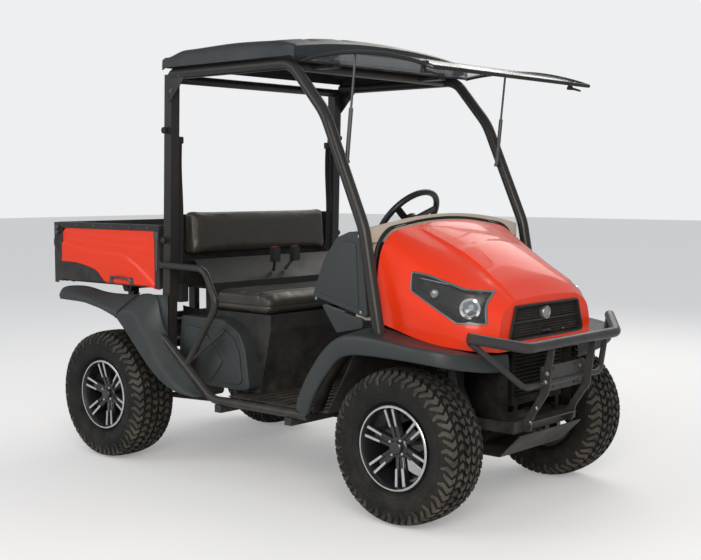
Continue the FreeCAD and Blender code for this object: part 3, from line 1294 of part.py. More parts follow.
def belts(doc, d):
    """Buckles on stalks between the seats, and retractors with their webbing at the rear posts."""
    shapes = []
    for x, lean in ((-40, -30), (40, 30)):
        low = (x, 327.8, 933.2)
        high = (x + lean, 285, 1000)
        shapes.append(union([Part.makeSphere(9, Vector(*low)), bar(low, high, 7),
                             cuboid((x + lean - 22, x + lean + 22), (high[1] - 13, high[1] + 13), (985, 1055))]))
    x = d.post_x - d.post_size / 2
    case = cuboid((x - 43, x - d.seat_gap), (440, 505), (800, 890))
    web = cuboid((x - 40, x - 3), (470, 473), (885, 1560))
    guide = cuboid((x - 43, x - d.seat_gap), (462, 481), (1550, 1585))
    side = union([case, web, guide])
    return {"seat_belts": feature(doc, "seat_belts", Part.makeCompound(shapes + [side, mirrored(side)]))}


def pedals(doc, d):
    """Brake and accelerator pedals hung from the firewall, and the gear lever in the dashboard."""
    shapes = []
    for x, width in ((250, 70), (390, 50)):
        wall_y = d.firewall_y + d.floor_wall + d.seat_gap
        foot = cuboid((x - 15, x + 15), (wall_y, wall_y + 18), (735, 775))
        arm = bar((x, wall_y + 12, 750), (x, -590, 560), 7)
        pad = prism("YZ", [(-612, 590), (-600, 596), (-572, 520), (-584, 514)], x - width / 2, x + width / 2)
        shapes.append(union([foot, arm, pad]))
    lever = tube([(70, d.dash_rear_y - 8, 960), (70, -545, 960), (70, -500, 1040)], 8, 20)
    knob = Part.makeSphere(20, Vector(70, -495, 1045))
    shapes.append(union([lever, knob]))
    return {"pedals_and_lever": feature(doc, "pedals_and_lever", Part.makeCompound(shapes))}


def bed(doc, d):
    """Cargo tub with floor beams and hinge ears, outer side panels, tailgate and tail lamps."""
    half, inner, wall = d.bed_half_width, d.bed_inner_x, d.bed_wall
    low, top, front, rear = d.bed_floor_z, d.bed_top_z, d.bed_front_y, d.bed_rear_y
    deck = low + d.deck_thick
    shapes = [cuboid((-half + 23, half - 23), (front, rear - 8), (low, deck))]
    shapes.append(cuboid((-half, half), (front, front + 36), (low, top)))
    for side in (-1, 1):
        shapes.append(cuboid(sorted((side * inner, side * (inner + wall))), (front + 30, rear - d.gate_thick - d.gate_gap),
                             (deck - 1, top)))
        shapes.append(cuboid(sorted((side * inner, side * half)), (front + 30, rear - 6), (top - d.bed_rail, top)))
        shapes.append(cuboid(sorted((side * (inner + 12), side * half)), (rear - 44, rear - 6), (low, top)))
        shapes.append(cuboid(sorted((side * (d.bed_beam_x - 20), side * (d.bed_beam_x + 20))),
                             (front + 20, d.bed_hinge_y - 60), (d.bed_beam_low_z, low + 1)))
        ear_x = side * (d.bed_beam_x + 36)
        ear = prism("YZ", [(d.bed_hinge_y - 60, low + 1), (d.bed_hinge_y - 26, d.bed_hinge_z - 24, 20),
                           (d.bed_hinge_y + 26, d.bed_hinge_z - 24, 20), (d.bed_hinge_y + 60, low + 1)],
                    ear_x - 8, ear_x + 8)
        shapes.append(ear)
    pin_hole = bar((-half, d.bed_hinge_y, d.bed_hinge_z), (half, d.bed_hinge_y, d.bed_hinge_z), 12 + d.running_gap)
    tub = union(shapes).cut(pin_hole)
    gate_pins, pockets = [], []
    for x in (-inner + 36, inner - 36):
        pockets.append(cuboid((x - 13, x + 13), (d.gate_hinge_y - 21, rear), (low - 20, deck + 1)))
        gate_pins.append(bar((x - 16, d.gate_hinge_y, d.gate_hinge_z), (x + 16, d.gate_hinge_y, d.gate_hinge_z),
                             d.gate_pin_radius))
    tub = union([tub.cut(Part.makeCompound(pockets))] + gate_pins)

    panel_low, panel_high = low + 8, top - d.bed_rail - d.seat_gap
    face_x = half - d.bed_panel_inset
    panel_front, panel_rear = front + 36 + d.seat_gap, rear - 44 - d.seat_gap
    panel = cuboid((face_x - d.bed_panel_thick, face_x), (panel_front, panel_rear), (panel_low, panel_high))
    # Pressed into each side: three long beads, and a field above a line that rises from the front lower corner.
    pressed = []
    for row in range(3):
        z = panel_high - d.bead_drop - row * d.bead_pitch
        low_z, high_z, round_end = z - d.bead_half, z + d.bead_half, d.bead_half - 1
        pressed.append(prism("YZ", [(panel_front + 40, low_z, round_end), (panel_rear - 40, low_z, round_end),
                                    (panel_rear - 40, high_z, round_end), (panel_front + 40, high_z, round_end)],
                             face_x - d.bead_depth, half))
    rise = d.press_length * d.press_slope
    field = [(panel_front - 1, panel_low + 20), (panel_front + d.press_length, panel_low + 20 + rise, 60),
             (panel_front + d.press_length + 30, panel_high - 15, 40), (panel_front - 1, panel_high - 15)]
    pressed.append(prism("YZ", field, face_x - d.press_depth, half))
    panel = panel.cut(Part.makeCompound(pressed))

    gate_low = deck + d.gate_rise
    gate = cuboid((-inner + 4, inner - 4), (rear - d.gate_thick, rear), (gate_low, top))
    outer_skin = cuboid((-half + 4, half - 4), (rear, d.half_length - 8), (gate_low, top))
    ribs = [cuboid((-half + 60, half - 60), (d.half_length - 9, d.half_length), (z, z + 26))
            for z in (gate_low + 60, gate_low + 130, gate_low + 200)]
    lugs = []
    for x in (-inner + 36, inner - 36):
        lug = prism("YZ", [(rear - d.gate_thick, gate_low + 2), (rear - d.gate_thick, d.gate_hinge_z - 12, 9),
                           (rear, d.gate_hinge_z - 12, 9), (rear, gate_low + 2)], x - 6, x + 6)
        lugs.append(lug)
    bores = [bar((x - 20, d.gate_hinge_y, d.gate_hinge_z), (x + 20, d.gate_hinge_y, d.gate_hinge_z),
                 d.gate_pin_radius + d.running_gap) for x in (-inner + 36, inner - 36)]
    gate = union([gate, outer_skin] + ribs + lugs).cut(Part.makeCompound(bores))

    return {"bed_tub": feature(doc, "bed_tub", tub),
            "bed_side_panels": feature(doc, "bed_side_panels", both_sides(panel)),
            "tailgate": feature(doc, "tailgate", gate)}


def build():
    """Make the document, check every object in it and write each node as a STEP file."""
    doc = FreeCAD.newDocument("side_by_side_utv")
    d = fill_sheet(doc)
    nodes = {}
    for maker in (chassis_frame, front_towers, rear_mounts, skid_plate, front_arms, spring_units, knuckles,
                  steering_gear, driveline, rear_axle_beam, engine_block, silencer, drawbar, wheels, front_end,
                  cowl_and_dash,
                  steering_column, floor_pan, side_panels, front_fenders, rear_fenders, rollover_frame,
                  roof_panel, windshield, front_guard, tail_lamps, radiator, sills_and_hip_guards, seat_parts, belts,
                  pedals, bed):
        nodes.update(maker(doc, d))
    doc.recompute()
    for item in doc.Objects:
        if {"Invalid", "Error"} & set(item.State):
            raise RuntimeError(f"{item.Name} failed: {item.State}")
    os.makedirs("parts", exist_ok=True)
    for name, node in nodes.items():
        node.Label = name
        if node.Shape.isNull() or not node.Shape.isValid():
            raise RuntimeError(f"{name} has no valid shape")
        node.Shape.exportStep(f"parts/{name}.step")
        box = node.Shape.BoundBox
        print(f"{name}: {len(node.Shape.Solids)} solids, {node.Shape.Volume / 1e3:.1f} cm3, "
              f"x {box.XMin:.0f} {box.XMax:.0f}, y {box.YMin:.0f} {box.YMax:.0f}, z {box.ZMin:.0f} {box.ZMax:.0f}")


build()
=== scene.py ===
"""Looks of a side by side utility vehicle with roof, raised windshield and tipping cargo bed.

Metres, +Z up, the front towards -Y, the vehicle's left towards +X. Each section below makes one piece or one
group of like pieces, in the order in which the vehicle is put together, from the view and the chassis outwards.
"""

import math

import bmesh
import bpy
from mathutils import Matrix, Vector


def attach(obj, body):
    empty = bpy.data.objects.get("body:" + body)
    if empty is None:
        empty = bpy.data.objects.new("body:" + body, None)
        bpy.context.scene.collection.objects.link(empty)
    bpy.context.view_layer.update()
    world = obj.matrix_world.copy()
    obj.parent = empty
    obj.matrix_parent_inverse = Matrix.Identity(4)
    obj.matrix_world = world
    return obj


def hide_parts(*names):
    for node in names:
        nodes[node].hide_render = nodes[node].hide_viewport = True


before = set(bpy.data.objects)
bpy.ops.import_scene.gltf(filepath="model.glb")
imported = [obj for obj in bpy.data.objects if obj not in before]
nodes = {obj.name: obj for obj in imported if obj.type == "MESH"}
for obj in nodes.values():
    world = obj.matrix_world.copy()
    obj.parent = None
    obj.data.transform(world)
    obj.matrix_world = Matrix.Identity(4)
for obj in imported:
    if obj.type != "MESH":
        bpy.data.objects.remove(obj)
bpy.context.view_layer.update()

# View: the vehicle is seen from its front right, from eye height, a few metres away. The camera turns towards it
# with a longer lens, so that it fills the frame from the photograph's own viewpoint.
camera_place = Vector((-4.21, -3.82, 1.35))
camera_heading, camera_dip = math.radians(48.9), math.radians(-4.55)
camera = bpy.data.objects.new("camera", bpy.data.cameras.new("camera"))
bpy.context.scene.collection.objects.link(camera)
camera.data.lens = 60.5
camera.data.clip_start = 0.05
camera.location = camera_place
look = Vector((math.sin(camera_heading) * math.cos(camera_dip), math.cos(camera_heading) * math.cos(camera_dip),
               math.sin(camera_dip)))
camera.rotation_euler = look.to_track_quat("-Z", "Y").to_euler()
bpy.context.scene.camera = camera
bpy.context.scene.view_settings.view_transform = "Standard"


# Studio: a pale seamless floor, a large soft lamp over the viewer's shoulder, a weaker one from the other side,
# and a plain bright surround. None of it belongs to the vehicle.
def material(name, **values):
    """A new material and its Principled shader, with plain values set on the shader's own sockets."""
    made = bpy.data.materials.new(name)
    made.use_nodes = True
    shader = made.node_tree.nodes["Principled BSDF"]
    for socket, value in values.items():
        shader.inputs[socket.replace("_", " ")].default_value = value
    return made, made.node_tree, shader


def add_node(tree, kind, **settings):
    """A node in a tree: settings that name a socket set its value, the others set the node itself."""
    node = tree.nodes.new(kind)
    for key, value in settings.items():
        if key in node.bl_rna.properties:
            setattr(node, key, value)
        else:
            node.inputs[key.replace("_", " ")].default_value = value
    return node


def connect(tree, *links):
    """Join sockets of a tree, each link given as (node, its output, node, its input)."""
    for source, output, target, socket in links:
        tree.links.new(source.outputs[output], target.inputs[socket])


def link_up(name, mesh):
    """A new object for a mesh, in the scene."""
    thing = bpy.data.objects.new(name, mesh)
    bpy.context.scene.collection.objects.link(thing)
    return thing


floor_mesh = bpy.data.meshes.new("studio_floor")
floor_mesh.from_pydata([(-40, -40, 0), (40, -40, 0), (40, 40, 0), (-40, 40, 0)], [], [(0, 1, 2, 3)])
floor = link_up("studio_floor", floor_mesh)
floor_paint, floor_tree, floor_shader = material("studio_floor", Base_Color=(0.74, 0.74, 0.74, 1), Roughness=0.9)
floor_seen = add_node(floor_tree, "ShaderNodeLightPath")
floor_glow = add_node(floor_tree, "ShaderNodeMath", operation="MULTIPLY")
floor_glow.inputs[1].default_value = 0.24  # the floor's own light, for the viewer alone
connect(floor_tree, (floor_seen, "Is Camera Ray", floor_glow, 0), (floor_glow, 0, floor_shader, "Emission Strength"))
floor_mesh.materials.append(floor_paint)

world = bpy.data.worlds.new("studio")
bpy.context.scene.world = world
world.use_nodes = True
surround = world.node_tree
surround.nodes.clear()
rays = add_node(surround, "ShaderNodeLightPath")
seen = add_node(surround, "ShaderNodeMath", operation="MAXIMUM")
connect(surround, (rays, "Is Camera Ray", seen, 0), (rays, "Is Transmission Ray", seen, 1))
dim = add_node(surround, "ShaderNodeBackground", Color=(0.93, 0.96, 1.0, 1), Strength=0.5)
bright = add_node(surround, "ShaderNodeBackground", Color=(0.9, 0.91, 0.92, 1), Strength=0.95)
either = add_node(surround, "ShaderNodeMixShader")
surround_end = add_node(surround, "ShaderNodeOutputWorld")
connect(surround, (seen, 0, either, 0), (dim, 0, either, 1), (bright, 0, either, 2), (either, 0, surround_end, 0))

# Lamps: name, place, width, height, power, colour.
for lamp_name, place, width, height, power, colour in (
    ("key", (-5.4, -4.8, 3.4), 4.0, 3.6, 330, (1.0, 0.93, 0.83)),
    ("fill", (-6.5, 3.5, 3.2), 4.0, 3.0, 110, (0.95, 0.97, 1.0)),
    ("rim", (4.4, 1.0, 4.7), 4.0, 4.0, 120, (1.0, 0.95, 0.88)),
):
    lamp = bpy.data.lights.new(lamp_name, "AREA")
    lamp.shape, lamp.size, lamp.size_y, lamp.energy, lamp.color = "RECTANGLE", width, height, power, colour
    holder = bpy.data.objects.new(lamp_name, lamp)
    bpy.context.scene.collection.objects.link(holder)
    holder.location = place
    holder.rotation_euler = (Vector((0, 0, 0.8)) - Vector(place)).to_track_quat("-Z", "Y").to_euler()


# Chassis: rails, cross-members, towers and outriggers of black powder-coated steel tube and plate. The coat has a
# fine orange peel, is rubbed a little shinier in patches, and dust from the ground lies on its lowest parts.
def group(name, inputs, outputs):
    """A shader node group with named sockets, and its input and output nodes."""
    tree = bpy.data.node_groups.new(name, "ShaderNodeTree")
    for socket_name, kind, value in inputs:
        socket = tree.interface.new_socket(socket_name, in_out="INPUT", socket_type=kind)
        socket.default_value = value
    for socket_name, kind in outputs:
        tree.interface.new_socket(socket_name, in_out="OUTPUT", socket_type=kind)
    return tree, tree.nodes.new("NodeGroupInput"), tree.nodes.new("NodeGroupOutput")


def place_group(tree, inner, **values):
    """A group set into a material's tree with its own values."""
    node = tree.nodes.new("ShaderNodeGroup")
    node.node_tree = inner
    for socket, value in values.items():
        node.inputs[socket.replace("_", " ")].default_value = value
    return node


# Peel: the even, shallow bumps of a sprayed coat, and slow patches where it is more or less rubbed.
peel, peel_in, peel_out = group("sprayed_peel", [("Bump Size", "NodeSocketFloat", 260.0),
                                                 ("Patch Size", "NodeSocketFloat", 3.0),
                                                 ("Roughness Low", "NodeSocketFloat", 0.3),
                                                 ("Roughness High", "NodeSocketFloat", 0.45)],
                                [("Height", "NodeSocketFloat"), ("Roughness", "NodeSocketFloat")])
spot = add_node(peel, "ShaderNodeTexCoord")
fine = add_node(peel, "ShaderNodeTexNoise", Detail=2.0, Roughness=0.5)
connect(peel, (spot, "Object", fine, "Vector"), (peel_in, "Bump Size", fine, "Scale"))
slow = add_node(peel, "ShaderNodeTexNoise", Detail=5.0, Roughness=0.6)
connect(peel, (spot, "Object", slow, "Vector"), (peel_in, "Patch Size", slow, "Scale"))
spread = add_node(peel, "ShaderNodeMapRange", From_Min=0.35, From_Max=0.65)
connect(peel, (slow, "Fac", spread, "Value"), (peel_in, "Roughness Low", spread, "To Min"),
        (peel_in, "Roughness High", spread, "To Max"), (fine, "Fac", peel_out, "Height"),
        (spread, "Result", peel_out, "Roughness"))

# Dust: dry earth that lies thicker towards the ground, broken up by noise; it mixes over a base colour.
dust, dust_in, dust_out = group("road_dust", [("Base", "NodeSocketColor", (0.02, 0.02, 0.02, 1)),
                                              ("Dust", "NodeSocketColor", (0.23, 0.19, 0.14, 1)),
                                              ("Top Height", "NodeSocketFloat", 0.7),
                                              ("Amount", "NodeSocketFloat", 0.35)],
                                [("Color", "NodeSocketColor")])
spot = add_node(dust, "ShaderNodeTexCoord")
height = add_node(dust, "ShaderNodeSeparateXYZ")
connect(dust, (spot, "Object", height, 0))
ratio = add_node(dust, "ShaderNodeMath", operation="DIVIDE")
connect(dust, (height, "Z", ratio, 0), (dust_in, "Top Height", ratio, 1))
fall = add_node(dust, "ShaderNodeMapRange", From_Min=1.0, From_Max=0.1)
connect(dust, (ratio, 0, fall, "Value"))
clouds = add_node(dust, "ShaderNodeTexNoise", Scale=11.0, Detail=8.0, Roughness=0.7)
connect(dust, (spot, "Object", clouds, "Vector"))
broken = add_node(dust, "ShaderNodeMapRange", From_Min=0.38, From_Max=0.68)
connect(dust, (clouds, "Fac", broken, "Value"))
both = add_node(dust, "ShaderNodeMath", operation="MULTIPLY")
connect(dust, (fall, 0, both, 0), (broken, 0, both, 1))
share = add_node(dust, "ShaderNodeMath", operation="MULTIPLY")
connect(dust, (both, 0, share, 0), (dust_in, "Amount", share, 1))
mixed = add_node(dust, "ShaderNodeMix", data_type="RGBA")
connect(dust, (share, 0, mixed, "Factor"), (dust_in, "Base", mixed, 6), (dust_in, "Dust", mixed, 7),
        (mixed, 2, dust_out, "Color"))


def coated(name, colour, low, high, bump, bump_size, patch_size, dust_amount, dust_top=0.7, dust_colour=None,
           **values):
    """A finish with a fine bump, patchy roughness between low and high, and dust towards the ground."""
    made, tree, shader = material(name, **{"Specular_IOR_Level": 0.3, **values})
    skin = place_group(tree, peel, Bump_Size=bump_size, Patch_Size=patch_size, Roughness_Low=low, Roughness_High=high)
    dirt = place_group(tree, dust, Base=(*colour, 1), Top_Height=dust_top, Amount=dust_amount)
    if dust_colour:
        dirt.inputs["Dust"].default_value = (*dust_colour, 1)
    relief = add_node(tree, "ShaderNodeBump", Strength=bump, Distance=0.001)
    connect(tree, (skin, "Height", relief, "Height"), (relief, 0, shader, "Normal"),
            (dirt, "Color", shader, "Base Color"), (skin, "Roughness", shader, "Roughness"))
    return made


def polished(name, low, high, patch_size, **values):
    """A smooth, clean finish whose roughness wanders between low and high in patches."""
    made, tree, shader = material(name, **values)
    skin = place_group(tree, peel, Patch_Size=patch_size, Roughness_Low=low, Roughness_High=high)
    connect(tree, (skin, "Roughness", shader, "Roughness"))
    return made


def finish_nodes(finish, *names):
    """Give CAD nodes that stay as they are a finished material."""
    for name in names:
        node = nodes[name]
        node.data.materials.clear()
        node.data.materials.append(finish)


# Each finish: name, colour, least and greatest roughness, bump's strength and scale, patches' scale, dust's amount
# and, where it isn't the usual 0.7 m, the height that the dust reaches.
powder_black = coated("powder_coat_black", (0.021, 0.021, 0.023), 0.3, 0.46, 0.12, 420, 4, 0.35)
finish_nodes(powder_black, "chassis_frame", "front_towers", "rear_mounts", "drawbar", "lamp_brackets", "skid_plate")

# Arms, axle and drive: bare or plain-coated castings and pressings under the floor. Cast iron and aluminium
# housings are rough and dull, pressed steel is smoother, and all of them carry road dust.
cast_metal = coated("rough_casting", (0.07, 0.07, 0.072), 0.5, 0.7, 0.5, 160, 8, 0.7, 0.8, Metallic=0.6)
pressed_steel = coated("zinc_steel", (0.36, 0.37, 0.38), 0.3, 0.5, 0.08, 300, 10, 0.6, 0.8, Metallic=0.9)
dark_steel = coated("dark_steel", (0.1, 0.1, 0.105), 0.35, 0.55, 0.1, 300, 10, 0.6, 0.8, Metallic=0.7)
finish_nodes(cast_metal, "knuckle_left", "knuckle_right", "driveline", "engine_block", "rear_axle_beam")
finish_nodes(pressed_steel, "rack_housing", "steering_rack")
finish_nodes(dark_steel, "front_arms", "silencer", "windshield_struts")
# This black also colours the sheets beside the radiator and behind the seat, where it is painted shade.
core_and_shade_black = coated("radiator_and_shade_sheet_black", (0.004, 0.004, 0.004), 0.6, 0.8, 0.2, 400, 9, 0.2, 0.9,
                    Specular_IOR_Level=0.15)
finish_nodes(core_and_shade_black, "radiator")

# Springs: black coils wound round their dampers, with a flat seat at both ends. Each coil is a real helix that
# takes the place of the grooved barrel in the model.
spring_black = coated("spring_paint", (0.03, 0.03, 0.032), 0.25, 0.4, 0.05, 300, 8, 0.3)


def revolve(outline, steps, turn=None):
    """A mesh turned about +Z from (radius, height) points, as a bmesh; the outline is open or runs to the axis."""
    form = bmesh.new()
    rings = []
    for step in range(steps):
        angle = math.tau * step / steps
        rings.append([form.verts.new((radius * math.cos(angle), radius * math.sin(angle), height))
                      for radius, height in outline])
    for step in range(steps):
        here, there = rings[step], rings[(step + 1) % steps]
        for index in range(len(outline) - 1):
            form.faces.new((here[index], there[index], there[index + 1], here[index + 1]))
    bmesh.ops.remove_doubles(form, verts=form.verts, dist=1e-6)
    if turn is not None:
        bmesh.ops.transform(form, matrix=turn, verts=form.verts)
    return form


def strips(form, rows, around=False, finish_index=0):
    """Faces between rows of vertices; around joins the ends of each row as well."""
    for near, far in zip(rows, rows[1:]):
        for index in range(len(near) - (0 if around else 1)):
            following = (index + 1) % len(near)
            face = form.faces.new((near[index], near[following], far[following], far[index]))
            face.material_index = finish_index


def sweep(form, path, radius, sides=10):
    """Add a round tube along a list of points to a bmesh, closed at both ends."""
    rings = []
    along = (path[1] - path[0]).normalized()
    across = along.orthogonal().normalized()
    for index, point in enumerate(path):
        before, after = path[max(index - 1, 0)], path[min(index + 1, len(path) - 1)]
        along = (after - before).normalized()
        across = (across - along * across.dot(along)).normalized()
        up = along.cross(across)
        size = radius[index] if isinstance(radius, (list, tuple)) else radius
        rings.append([form.verts.new(point + (across * math.cos(math.tau * side / sides)
                                              + up * math.sin(math.tau * side / sides)) * size)
                      for side in range(sides)])
    strips(form, rings, around=True)
    form.faces.new(rings[0][::-1])
    form.faces.new(rings[-1])


def towards(start, end):
    """The turn and place that carry +Z from the origin onto the line from start to end."""
    return Matrix.Translation(start) @ (end - start).to_track_quat("Z", "Y").to_matrix().to_4x4()


def piece(name, form, body, *finishes, crease=35, replaces=(), slot=""):
    """Turn a bmesh into an object that rides on a body, with its materials and shading by angle; slot is not used."""
    bmesh.ops.recalc_face_normals(form, faces=form.faces)
    mesh = bpy.data.meshes.new(name)
    form.to_mesh(mesh)
    form.free()
    mesh.shade_smooth()
    mesh.set_sharp_from_angle(angle=math.radians(crease))
    thing = link_up(name, mesh)
    for finish in finishes:
        mesh.materials.append(finish)
    if replaces:
        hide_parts(*replaces)
    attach(thing, body)
    return thing


def mirror_half(form):
    """Copy everything in a bmesh to the other side of the vehicle."""
    half = bmesh.ops.duplicate(form, geom=form.verts[:] + form.edges[:] + form.faces[:])["geom"]
    verts = [part for part in half if isinstance(part, bmesh.types.BMVert)]
    bmesh.ops.scale(form, vec=(-1, 1, 1), verts=verts)
    bmesh.ops.reverse_faces(form, faces=[part for part in half if isinstance(part, bmesh.types.BMFace)])


def merge(form, part, finish_index=None):
    """Add one bmesh to another and use it up; its faces may get one finish of the piece by its number."""
    before = len(form.faces)
    mesh = bpy.data.meshes.new("merged_part")
    part.to_mesh(mesh)
    part.free()
    form.from_mesh(mesh)
    bpy.data.meshes.remove(mesh)
    if finish_index is not None:
        form.faces.ensure_lookup_table()
        for index in range(before, len(form.faces)):
            form.faces[index].material_index = finish_index


front_axle_y, rear_axle_y, damper_y = -0.9285, 0.9285, 1.035
seat_height, rod_radius, eye_radius, eye_half = 0.004, 0.010, 0.0115, 0.018
coil_steps, idle_turns = 20, 0.6
spring_form = bmesh.new()
# Springs: lower end, upper end, coil radius, wire radius, turns, damper radius.
for low, high, coil, wire, turns, damper in (
    (Vector((0.3579, front_axle_y, 0.575)), Vector((0.3164, front_axle_y, 0.718)), 0.037, 0.0062, 4.5, 0.020),
    (Vector((0.3215, damper_y, 0.425)), Vector((0.2870, damper_y, 0.625)), 0.033, 0.0058, 6.0, 0.019),
):
    stand = towards(low, high)
    length = (high - low).length
    path = []
    for step in range(int(turns * coil_steps) + 1):
        turned = step / coil_steps
        rise = min(max((turned - idle_turns) / (turns - 2 * idle_turns), 0), 1)
        path.append(stand @ Vector((coil * math.cos(math.tau * turned), coil * math.sin(math.tau * turned),
                                    wire + rise * (length - 2 * wire))))
    sweep(spring_form, path, wire, 8)
    seat = coil + wire
    merge(spring_form, revolve([
        (0, -seat_height), (seat, -seat_height), (seat, 0), (damper, 0), (damper, length * 0.5),
        (0.009, length * 0.5), (0.009, length), (seat, length), (seat, length + seat_height),
        (0, length + seat_height)], 28, stand))
# Mounts: the strut's rod up into its tower, and the rear damper's eyes on their pins.
sweep(spring_form, [Vector((0.3619, front_axle_y, 0.5605)), Vector((0.3109, front_axle_y, 0.7365))], rod_radius, 16)
damper_eyes = [Vector((0.330, damper_y, 0.357)), Vector((0.285, damper_y, 0.636))]
for eye in damper_eyes:
    sweep(spring_form, [eye - Vector((0, eye_half, 0)), eye + Vector((0, eye_half, 0))], eye_radius, 16)
sweep(spring_form, damper_eyes, rod_radius, 16)
mirror_half(spring_form)
piece("coil_springs", spring_form, "chassis", spring_black, replaces=("spring_units",))

# Tyres: black all-terrain tyres, 25 inches high, with zigzag rows of hooked blocks, and shoulder lugs that run
# over the edge onto the sidewall. The rubber is matt, with dust in the grooves; the lug faces are paler, partly from
# wear and partly as a painted highlight where light catches their tops.
rubber, rubber_tree, rubber_shader = material("tyre_rubber", Roughness=0.8, Specular_IOR_Level=0.25)
rubber_dust = place_group(rubber_tree, dust, Base=(0.008, 0.008, 0.008, 1), Dust=(0.10, 0.09, 0.07, 1),
                          Top_Height=0.8, Amount=0.22)
rubber_spot = add_node(rubber_tree, "ShaderNodeTexCoord")
rubber_grain = add_node(rubber_tree, "ShaderNodeTexNoise", Scale=240.0, Detail=4.0)
rubber_scuff = add_node(rubber_tree, "ShaderNodeTexNoise", Scale=26.0, Detail=6.0, Roughness=0.7)
rubber_level = add_node(rubber_tree, "ShaderNodeMapRange", From_Min=0.35, From_Max=0.7, To_Min=0.55, To_Max=0.85)
rubber_relief = add_node(rubber_tree, "ShaderNodeBump", Strength=0.25, Distance=0.001)
connect(rubber_tree, (rubber_spot, "Object", rubber_grain, "Vector"), (rubber_spot, "Object", rubber_scuff, "Vector"),
        (rubber_scuff, "Fac", rubber_level, "Value"), (rubber_level, "Result", rubber_shader, "Roughness"),
        (rubber_grain, "Fac", rubber_relief, "Height"), (rubber_relief, 0, rubber_shader, "Normal"),
        (rubber_dust, "Color", rubber_shader, "Base Color"))

# Lug tops: worn, dusty rubber made paler than the casing; part of that paleness is a painted highlight on the tops.
worn_rubber_with_painted_highlight = coated("worn_rubber_with_painted_highlight", (0.022, 0.022, 0.021), 0.5, 0.7, 0.28, 700, 14, 0.5, 0.9)

tyre_radius, groove, bead_radius = 0.316, 0.0115, 0.1585
pitches, casing_steps = 26, 96
tread_half = 0.146  # along the casing from the crown to the last lug's end, on a tyre of twice drawn_half
drawn_half = 0.113
foot_taper, top_taper, foot_sink = 0.97, 0.84, 0.001
zigzag_reach, zigzag_step = 0.42, 0.037


def tyre_profile(width):
    """Casing from bead to bead as (distance across, radius): beads, bulged sidewalls, shoulders and crown."""
    half, crown = width / 2, tyre_radius - groove
    side = [(0.0808, bead_radius), (0.0812, 0.176), (half - 0.0125, 0.190), (half - 0.0035, 0.212),
            (half - 0.001, 0.236), (half - 0.0025, 0.258), (half - 0.008, 0.278), (half - 0.017, crown - 0.0085),
            (half - 0.032, crown - 0.004), (half - 0.06, crown - 0.0015), (0.0, crown)]
    return [(-across, radius) for across, radius in side] + [(across, radius) for across, radius in side[-2::-1]]


def on_profile(profile, distance):
    """Point and outward normal on the casing at a distance along it from the crown; negative is the inner side."""
    middle = len(profile) // 2
    side = profile[middle:] if distance >= 0 else profile[middle::-1]
    left = abs(distance)
    for near, far in zip(side, side[1:]):
        step = math.hypot(far[0] - near[0], far[1] - near[1])
        if left <= step or far is side[-1]:
            share_along = left / step
            across = near[0] + (far[0] - near[0]) * share_along
            radius = near[1] + (far[1] - near[1]) * share_along
            run = ((far[0] - near[0]) / step, (far[1] - near[1]) / step)
            normal = (-run[1], run[0]) if distance >= 0 else (run[1], -run[0])
            return (across, radius), normal
        left -= step


# Lugs of one pitch, as outlines of (distance along the casing from the crown, share of the pitch), with a height.
half_lugs = (
    ([(0.004, 0.06), (0.020, 0.00), (0.034, 0.10), (0.034, 0.34), (0.021, 0.30), (0.017, 0.44), (0.004, 0.46)], 1.0),
    ([(0.004, 0.56), (0.015, 0.53), (0.021, 0.66), (0.034, 0.62), (0.034, 0.86), (0.022, 0.92), (0.004, 0.94)], 1.0),
    ([(0.040, 0.14), (0.056, 0.06), (0.070, 0.12), (0.070, 0.40), (0.052, 0.46), (0.040, 0.38)], 1.0),
    ([(0.040, 0.58), (0.056, 0.52), (0.070, 0.58), (0.070, 0.88), (0.052, 0.94), (0.040, 0.86)], 1.0),
    ([(0.075, 0.04), (0.094, 0.02), (0.118, 0.06), (0.146, 0.10), (0.146, 0.30), (0.118, 0.38), (0.094, 0.42),
      (0.075, 0.40)], 0.92),
    ([(0.075, 0.54), (0.094, 0.52), (0.118, 0.56), (0.131, 0.60), (0.131, 0.80), (0.118, 0.86), (0.094, 0.92),
      (0.075, 0.90)], 0.92),
)


